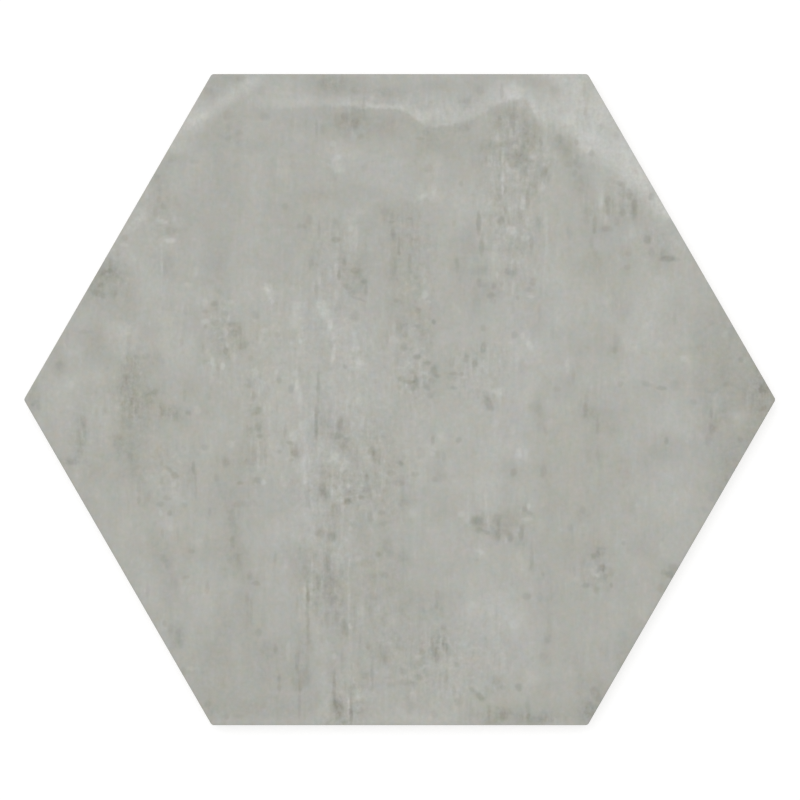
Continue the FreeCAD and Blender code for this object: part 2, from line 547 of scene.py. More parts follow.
    # lower middle
    (332, 585, 14, 26, -3), (335, 625, 14, 12, -2.5), (342, 432, 12, 16, -2),
    (325, 482, 8, 14, -1.5), (350, 490, 8, 16, -1.5), (332, 530, 10, 18, -2),
    (360, 455, 14, 20, -2.5), (385, 475, 20, 20, -3), (385, 517, 8, 8, -3.5),
    (360, 500, 14, 14, -3), (360, 538, 9, 6, -4), (405, 500, 10, 10, -3.5), (400, 455, 8, 10, -2),
    (390, 580, 12, 9, -4.5), (405, 588, 18, 22, -3), (395, 640, 24, 16, -2.5),
    (400, 560, 10, 12, -3), (412, 612, 14, 22, -3), (382, 655, 8, 8, -4), (334, 680, 5, 12, -3.5),
    (365, 686, 26, 4, -3), (338, 706, 9, 13, -4), (435, 716, 7, 5, -2), (423, 674, 10, 6, -4),
    (437, 473, 9, 10, -4.5), (440, 458, 6, 9, -3), (433, 435, 5, 9, -4), (450, 512, 14, 10, -3),
    # lower right
    (502, 524, 22, 13, -2.5), (522, 538, 6, 8, -4), (595, 452, 10, 10, -4.5),
    (620, 470, 16, 16, -2.5), (545, 470, 7, 12, -4.5), (513, 470, 6, 7, -4.5),
    (545, 490, 12, 9, -3.5), (595, 482, 18, 22, -3), (560, 505, 14, 8, -4.5, 25),
    (582, 515, 6, 8, -4.5), (575, 540, 24, 24, -2.5), (630, 505, 8, 9, -4.5), (640, 545, 14, 9, -4),
    (600, 562, 15, 18, -4), (605, 590, 10, 6, -3.5), (660, 580, 9, 12, -4), (667, 441, 7, 9, -3),
    (655, 455, 12, 9, -3), (548, 637, 7, 8, -4.5), (545, 657, 7, 7, -4), (550, 600, 14, 20, -2.5),
    (575, 640, 16, 30, -1.5), (628, 643, 12, 10, -5), (612, 656, 14, 14, -3.5),
    (640, 628, 8, 9, -4), (590, 690, 15, 15, -6), (575, 712, 16, 10, -4), (545, 690, 14, 12, -3),
    (520, 713, 40, 9, -5.5), (470, 712, 12, 8, -2), (497, 683, 7, 7, -4),
)

LIGHT_CLOUDS = marks(
    Layer.CLOUD,
    # upper left
    (186, 126, 17, 9, 9, 40), (212, 108, 17, 7, 7, 30), (237, 92, 17, 6, 7, 30),
    (254, 79, 13, 7, 6, 40), (290, 97, 30, 14, 4), (345, 156, 16, 12, 3), (320, 155, 20, 9, 3),
    (380, 164, 14, 10, 1.5), (400, 184, 24, 10, 2.5), (465, 195, 18, 9, 2.5),
    (440, 202, 12, 8, 1.5), (205, 166, 8, 14, 2.5), (254, 180, 9, 40, 3), (180, 178, 10, 14, 2),
    (142, 215, 10, 14, 4), (146, 265, 12, 25, 3), (165, 300, 22, 18, 3), (170, 345, 22, 22, 4),
    (188, 350, 14, 14, 2), (120, 331, 16, 9, 4), (72, 350, 6, 10, 4), (70, 382, 9, 9, 4.5),
    (92, 378, 10, 8, 2.5), (297, 308, 6, 10, 5), (299, 335, 4, 14, 4.5), (278, 350, 20, 50, 2),
    (352, 340, 10, 18, 3), (357, 362, 9, 8, 5), (352, 232, 5, 8, 4.5), (357, 213, 7, 4, 3.5),
    (392, 342, 6, 8, 3.5), (350, 393, 28, 20, 3.2), (383, 395, 12, 14, 3), (210, 370, 8, 9, 3),
    (336, 358, 6, 10, 3),
    # upper right
    (428, 196, 9, 5, 4), (437, 190, 8, 10, 3), (395, 155, 12, 12, 3), (600, 190, 6, 22, 4),
    (455, 215, 12, 14, 2), (445, 340, 14, 12, 3), (522, 345, 14, 14, 4), (505, 375, 16, 20, 3.5),
    (520, 385, 12, 16, 1.5), (571, 367, 5, 10, 4.5), (560, 315, 16, 12, 4), (552, 345, 14, 12, 3),
    (605, 305, 10, 14, 2.5), (648, 300, 12, 16, 5.5), (640, 330, 16, 14, 5), (632, 345, 10, 8, 4),
    (665, 285, 16, 10, 2.5), (625, 235, 14, 10, 2.5), (560, 285, 18, 12, 2.5),
    # lower left
    (304, 415, 8, 14, 4), (306, 468, 9, 18, 5), (303, 520, 9, 12, 5), (280, 530, 12, 12, 3.5),
    (310, 505, 9, 10, 3), (325, 450, 10, 10, 3), (352, 408, 16, 10, 3.5), (385, 410, 16, 12, 2.6),
    (338, 462, 8, 9, 4), (345, 540, 9, 9, 4.5), (280, 410, 12, 16, 3), (180, 494, 12, 11, 4.5),
    (165, 522, 14, 10, 3), (225, 430, 18, 14, 3), (205, 450, 8, 10, 2.5), (55, 395, 14, 14, 2.5),
    (105, 420, 10, 20, 3), (203, 585, 12, 14, 1.5), (203, 612, 10, 12, 1), (145, 590, 14, 14, 2.5),
    (278, 590, 14, 20, 2.5), (265, 550, 14, 20, 2), (237, 655, 6, 18, 3.5), (321, 665, 5, 22, 2.5),
    (345, 655, 7, 14, 2), (385, 710, 26, 10, 3), (284, 562, 5, 9, 3.5, 20),
    # broad lifts
    (665, 345, 40, 30, 4), (690, 418, 20, 16, 4.5), (620, 365, 26, 14, 2), (680, 290, 24, 26, 2),
    (300, 350, 55, 45, 1.6), (260, 384, 24, 15, 2.5), (350, 340, 55, 36, 1.6),
    (497, 330, 26, 22, 4), (470, 315, 18, 10, 1.5), (530, 372, 18, 22, 2), (435, 440, 28, 34, 3.8),
    (492, 600, 22, 46, 2), (545, 490, 24, 30, 1.8), (551, 271, 18, 18, 1.5),
    (545, 215, 16, 18, 2.4), (558, 138, 16, 10, 2.5), (240, 288, 24, 16, 2.5),
    (275, 465, 10, 30, 2.8), (65, 412, 24, 18, 2.2), (352, 438, 12, 10, 3), (480, 515, 24, 20, 2),
    (425, 106, 22, 16, 3), (287, 180, 12, 24, 1.5), (435, 718, 20, 9, 3), (640, 268, 9, 10, 2),
    (500, 255, 14, 10, 1.6), (145, 282, 12, 20, 1.4), (545, 158, 4, 34, 3), (549, 169, 1.6, 9, -6),
    # small lifts
    (332, 170, 8, 5, 3), (503, 156, 5, 6, 3.5), (534, 175, 6, 6, 3), (302, 211, 3, 9, 3),
    (109, 260, 5, 9, 4), (472, 519, 6, 5, 3.5), (315, 554, 5, 4, 3), (331, 558, 4, 5, 3),
    (382, 579, 7, 8, 2.5), (585, 574, 6, 6, 2.5), (655, 584, 7, 6, 2.5), (361, 186, 4, 7, 3),
    (126, 230, 5, 5, 3), (428, 203, 12, 4, 2.5), (495, 208, 4, 6, 3), (265, 292, 6, 5, 3),
    (258, 374, 5, 5, 3), (258, 475, 5, 7, 3), (370, 458, 4, 12, 3, 25), (520, 429, 6, 4, 3),
    (746, 430, 6, 6, 3), (645, 173, 5, 8, 3), (666, 221, 5, 6, 3), (308, 612, 16, 20, 2),
    (315, 678, 20, 16, 2.4), (336, 700, 10, 9, 2.2), (472, 212, 13, 9, 3), (505, 228, 11, 9, 2.4),
    (309, 276, 8, 15, 2.4), (338, 224, 12, 12, 2), (577, 298, 16, 14, 2.2), (560, 402, 16, 16, 2),
    (522, 561, 10, 11, 4), (457, 355, 15, 11, 2.2), (535, 395, 9, 10, 2), (745, 427, 8, 9, 3),
    (270, 572, 9, 12, 2.4), (570, 250, 14, 12, 1.8), (485, 398, 9, 10, 2.2),
    (228, 158, 14, 16, 1.8), (130, 345, 18, 10, 2), (160, 215, 14, 14, 1.6), (360, 220, 9, 8, 2.2),
    (435, 160, 9, 14, 2), (618, 545, 14, 20, 1.6), (465, 690, 14, 16, 2), (505, 161, 6, 9, 3),
    (507, 190, 6, 9, 3), (490, 205, 9, 7, 3.5), (190, 148, 9, 9, 2.5), (625, 200, 6, 7, 3),
    (595, 226, 6, 7, 2.5), (680, 265, 7, 10, 3), (700, 302, 8, 7, 4), (165, 250, 7, 9, 2.5),
    (275, 200, 9, 7, 2.5), (395, 265, 6, 7, 2.5), (420, 290, 5, 9, 2.5), (200, 305, 7, 7, 2.5),
    (160, 320, 9, 9, 2.5), (85, 445, 6, 9, 3), (505, 345, 6, 7, 3), (515, 361, 9, 7, 2.5),
    (536, 360, 8, 9, 3), (690, 430, 9, 9, 2.5), (130, 525, 9, 9, 2.5), (375, 540, 9, 7, 2.5),
    (350, 690, 6, 7, 2.5), (530, 680, 7, 8, 2), (191, 107, 9, 11, 9.3), (152, 192, 6, 9, 5),
    (662, 212, 8, 8, 6), (680, 242, 8, 14, 2.5), (525, 109, 8, 9, 11), (501, 188, 7, 7, 4),
    (470, 205, 16, 9, 3), (506, 238, 4, 14, 3), (331, 169, 9, 6, 3), (268, 274, 12, 6, 2.5),
    (203, 612, 8, 20, 4), (222, 592, 20, 10, 2), (245, 625, 8, 20, 2), (230, 660, 18, 12, 2.5),
    (270, 560, 12, 12, 3), (311, 540, 6, 9, 4.5), (312, 672, 10, 14, 3.5), (318, 706, 5, 6, 2.5),
    (531, 405, 7, 20, 4), (366, 455, 9, 20, 3), (478, 374, 12, 14, 3), (560, 376, 10, 8, 2),
    (395, 580, 20, 14, 2.5), (300, 565, 8, 14, 1.5), (250, 411, 6, 8, 5.5), (290, 428, 14, 8, 2),
    (64, 361, 8, 6, 4), (78, 325, 8, 10, 2.5), (128, 355, 10, 16, 2.5), (124, 440, 6, 22, 2.5),
    (115, 470, 6, 8, 2.5), (175, 460, 6, 16, 2.5), (160, 490, 5, 9, 5), (105, 512, 8, 12, 2),
    (322, 310, 6, 16, 2.5), (404, 285, 6, 24, 2.5), (437, 168, 7, 12, 3), (422, 130, 4, 16, 3),
    (230, 125, 6, 16, 2), (178, 146, 12, 6, 3), (204, 159, 8, 8, 3.9), (158, 222, 8, 6, 2),
    (576, 165, 12, 16, 2.5), (578, 300, 10, 6, 2), (590, 335, 12, 20, 1.5), (628, 272, 10, 14, 1.5),
    (632, 402, 14, 8, 1.5), (690, 392, 12, 10, 1.5), (672, 430, 14, 8, 1.5),
    (675, 478, 18, 10, 1.5), (732, 437, 9, 14, 4), (745, 370, 8, 10, 2), (497, 450, 6, 8, 2.5),
    (445, 480, 20, 16, 1.2), (468, 512, 6, 10, 2), (415, 515, 8, 20, 1.5), (488, 632, 10, 18, 2.5),
    (560, 620, 8, 10, 2), (614, 640, 6, 8, 2), (526, 684, 5, 12, 3), (468, 680, 8, 8, 2),
    (430, 669, 7, 7, 4.9), (490, 710, 26, 5, 3), (420, 722, 40, 6, 2.5), (593, 685, 4, 14, 2.5),
    (305, 250, 4, 30, 1.5), (150, 600, 10, 10, 2), (185, 625, 6, 14, 2), (221, 86, 11, 9, 4.9),
    (284, 84, 14, 8, 2.5), (490, 84, 14, 6, 3), (172, 148, 8, 8, 3.5), (157, 190, 10, 7, 2.5),
    (112, 248, 6, 10, 3), (365, 160, 16, 16, 2.5), (336, 170, 8, 5, 2.5), (385, 180, 20, 10, 2),
    (418, 195, 14, 6, 2), (308, 135, 12, 7, 2), (296, 186, 6, 6, 2), (225, 125, 6, 14, 2),
    (540, 118, 7, 8, 2.5), (568, 135, 9, 16, 3), (552, 180, 5, 16, 2), (485, 190, 16, 8, 2.5),
    (507, 218, 6, 10, 3.5), (477, 258, 6, 8, 3.5), (448, 238, 8, 8, 2.5), (665, 220, 6, 8, 3.5),
    (676, 248, 8, 18, 2.5), (243, 255, 12, 20, 1.5), (188, 290, 18, 6, 2.5), (206, 300, 8, 6, 2),
    (90, 325, 12, 12, 2.5), (241, 335, 5, 8, 2.5), (198, 355, 7, 10, 2), (325, 315, 14, 14, 1.5),
    (336, 339, 7, 8, 5.3), (432, 345, 5, 12, 3), (413, 367, 7, 5, 3.5), (368, 374, 14, 8, 2.5),
    (327, 385, 6, 12, 3), (306, 375, 4, 10, 2), (516, 302, 14, 12, 2), (480, 388, 6, 12, 2.5),
    (552, 370, 10, 14, 2), (619, 318, 7, 6, 2.5), (613, 348, 7, 8, 2.5), (693, 363, 10, 8, 2.5),
    (528, 424, 14, 6, 2.5), (550, 443, 7, 7, 3.5), (492, 450, 10, 14, 2), (408, 456, 12, 6, 3),
    (420, 475, 10, 10, 2), (298, 440, 7, 8, 3), (268, 422, 16, 8, 2.5), (335, 478, 7, 6, 3),
    (345, 512, 4, 16, 2), (430, 530, 8, 14, 2.5), (497, 500, 7, 8, 2.5), (306, 543, 7, 8, 4),
    (332, 558, 5, 8, 3.5), (231, 515, 6, 6, 2.5), (198, 562, 6, 16, 2), (452, 588, 8, 8, 2.5),
    (160, 612, 8, 16, 2), (668, 435, 14, 10, 2), (630, 500, 8, 8, 2.5), (704, 492, 7, 12, 2.5),
    (665, 526, 16, 8, 2), (607, 470, 5, 12, 2), (530, 640, 8, 14, 2.5), (580, 640, 8, 12, 2.5),
    (462, 655, 14, 12, 2), (432, 700, 14, 6, 3), (340, 668, 10, 12, 2), (290, 690, 8, 8, 2.5),
    (262, 680, 24, 10, 1.8), (320, 705, 8, 6, 2.5),
    # lower right
    (518, 450, 10, 12, 5), (500, 430, 20, 24, 3), (485, 480, 17, 15, 5), (520, 410, 12, 12, 2.5),
    (460, 480, 14, 14, 2.5), (470, 420, 14, 20, 2), (675, 410, 16, 16, 4), (671, 473, 12, 9, 4.9),
    (682, 505, 12, 16, 2.5), (665, 500, 20, 14, 4.5), (645, 490, 14, 14, 2.5),
    (670, 545, 12, 10, 2), (650, 420, 14, 10, 2), (480, 552, 9, 6, 5), (455, 540, 14, 9, 2.5),
    (490, 605, 26, 14, 5), (515, 622, 12, 12, 4.5), (460, 615, 12, 18, 3), (500, 660, 24, 14, 2),
    (535, 675, 8, 16, 4), (460, 580, 14, 12, 2), (457, 705, 5, 14, 3), (450, 675, 10, 16, 2),
    (605, 600, 14, 10, 1.5), (740, 417, 7, 9, 7),
)

STAINS = marks(
    Layer.STAIN,
    # along the top and under the tide line
    (332, 82, 14, 7, -4), (353, 118, 15, 10, -3), (440, 131, 17, 6, -2.5), (465, 127, 8, 7, -1),
    (508, 118, 14, 13, -2), (528, 135, 11, 14, -2.5), (520, 155, 11, 14, -2),
    (524, 170, 9, 8, -1.5), (505, 145, 9, 9, -1.5), (565, 150, 8, 12, -1.5), (610, 204, 5, 11, -2),
    (635, 205, 6, 15, -2.5, 15),
    # left
    (108, 271, 11, 11, -5), (98, 292, 11, 8, -4), (358, 270, 7, 8, -1.5), (363, 285, 5, 8, -1.5),
    (351, 290, 7, 7, -1.5), (392, 228, 7, 11, -1.5, 20), (232, 330, 8, 8, -1),
    (132, 375, 11, 18, -5), (128, 395, 9, 14, -4), (153, 393, 9, 8, -4), (155, 360, 8, 9, -4),
    (60, 366, 6, 7, -1), (130, 408, 8, 12, -5), (147, 400, 9, 9, -4), (170, 413, 11, 6, -7),
    (188, 410, 7, 5, -2), (120, 444, 6, 10, -4), (148, 499, 7, 8, -2), (80, 427, 5, 14, -6),
    (78, 448, 4, 11, -4), (70, 461, 9, 5, -6.5), (250, 382, 4, 11, -1.5, 15),
    (254, 431, 8, 6, -1.5), (296, 453, 5, 8, -1), (231, 520, 5, 14, -2), (175, 634, 5, 8, -1),
    (305, 566, 5, 12, -1),
    # middle
    (415, 382, 6, 6, -2), (402, 379, 7, 4, -1), (434, 371, 7, 8, -2), (455, 376, 9, 5, -1.5),
    (430, 389, 9, 8, -1), (317, 420, 4, 13, -1.5), (341, 430, 7, 13, -2), (345, 446, 5, 7, -1.5),
    (323, 492, 6, 8, -2), (325, 475, 5, 6, -1), (349, 496, 6, 11, -1.5), (330, 536, 9, 9, -2),
    (335, 515, 5, 12, -1), (329, 575, 8, 13, -3), (333, 593, 9, 12, -3.5), (330, 620, 7, 11, -2),
    (345, 625, 6, 11, -1.5, 20), (338, 707, 8, 13, -4), (350, 714, 7, 10, -2), (374, 454, 6, 6, -1),
    (385, 547, 7, 7, -2), (381, 619, 5, 6, -1), (438, 600, 5, 12, -1.5), (435, 646, 8, 11, -4),
    (448, 645, 8, 7, -2.5), (494, 297, 6, 6, -1.5), (484, 348, 5, 7, -1), (533, 285, 4, 8, -1),
    # right
    (478, 522, 7, 9, -3), (498, 526, 8, 11, -3), (512, 518, 14, 10, -1.5), (525, 512, 8, 5, -1),
    (598, 554, 8, 6, -2), (604, 546, 7, 6, -3), (603, 569, 6, 7, -2), (586, 585, 8, 4, -1.5),
    (670, 571, 8, 8, -4), (498, 714, 17, 7, -6), (540, 718, 20, 5, -6), (588, 710, 8, 11, -6),
    (621, 661, 6, 7, -6), (711, 425, 5, 13, -1.5), (760, 396, 14, 16, -5), (588, 412, 7, 7, -1),
    # pale washes
    (190, 122, 12, 6, 3, 32), (170, 240, 8, 4, 2), (132, 222, 5, 14, 7, -32),
    (129, 257, 5, 9, 5, 25), (266, 293, 5, 9, 6, 15), (126, 330, 11, 5, 3),
    (322, 308, 5, 14, 3, 18), (331, 335, 5, 15, 4, 10), (300, 392, 4, 17, 3), (295, 433, 8, 8, 3),
    (528, 340, 4, 14, 2, 22), (686, 358, 9, 4, 2), (592, 568, 5, 8, 1),
)

WARMTHS = marks(
    Layer.WARMTH,
    (138, 420, 44, 75, 1), (255, 350, 40, 46, 1), (235, 435, 45, 35, 0.8), (178, 535, 42, 34, 0.7),
    (318, 212, 24, 24, 1), (402, 290, 20, 32, 1), (386, 457, 27, 30, 1), (430, 405, 17, 28, 0.6),
    (427, 145, 20, 15, 1), (540, 155, 25, 22, 1), (552, 212, 18, 34, 1), (610, 268, 44, 20, 1),
    (600, 187, 20, 20, 0.7), (583, 467, 50, 54, 0.9), (700, 353, 34, 20, 1), (347, 573, 27, 27, 0.6),
    (500, 698, 34, 24, 0.9), (748, 400, 20, 40, 0.5), (230, 680, 30, 30, 0.5),
    (410, 92, 190, 20, -0.8), (620, 147, 34, 27, -1), (213, 220, 14, 48, -0.8),
    (373, 168, 28, 18, -1), (623, 240, 30, 20, -1), (530, 337, 37, 50, -1),
    (333, 330, 40, 43, -0.9), (510, 433, 23, 34, -1), (313, 427, 20, 40, -0.8),
    (290, 527, 30, 33, -0.8), (484, 630, 44, 43, -1), (673, 440, 34, 52, -0.9),
    (273, 677, 46, 43, -0.5), (170, 620, 20, 40, -0.4),
)

WORKED_PATCHES = marks(
    Layer.GRAIN,
    (512, 175, 22, 62, 1), (540, 165, 12, 28, 0.5), (520, 255, 26, 40, 0.5), (413, 368, 16, 36, 0.9),
    (480, 375, 26, 30, 0.7), (340, 450, 52, 48, 0.8), (350, 490, 18, 14, 0.6),
    (325, 560, 28, 70, 0.7), (312, 592, 10, 16, 0.6), (342, 702, 22, 26, 1.2),
    (445, 665, 50, 38, 0.7), (370, 97, 32, 14, 0.5), (445, 112, 36, 16, 0.5),
    (163, 230, 14, 42, 0.5), (115, 272, 16, 20, 0.6), (215, 340, 16, 36, 0.7),
    (256, 430, 12, 50, 0.7), (336, 265, 24, 36, 0.6), (412, 265, 18, 56, 0.6),
    (78, 445, 14, 32, 0.5), (628, 195, 30, 26, 0.6), (660, 250, 20, 14, 0.5),
    (500, 522, 26, 12, 0.4), (600, 568, 12, 18, 0.5), (170, 465, 22, 24, 0.5),
    (590, 110, 14, 22, 0.4), (270, 335, 50, 50, 0.3), (345, 350, 40, 40, 0.4),
    (375, 620, 30, 60, 0.4), (130, 390, 30, 60, 0.35), (385, 480, 26, 40, 0.4),
    (330, 165, 8, 18, 0.5), (230, 90, 24, 14, 0.3),
)

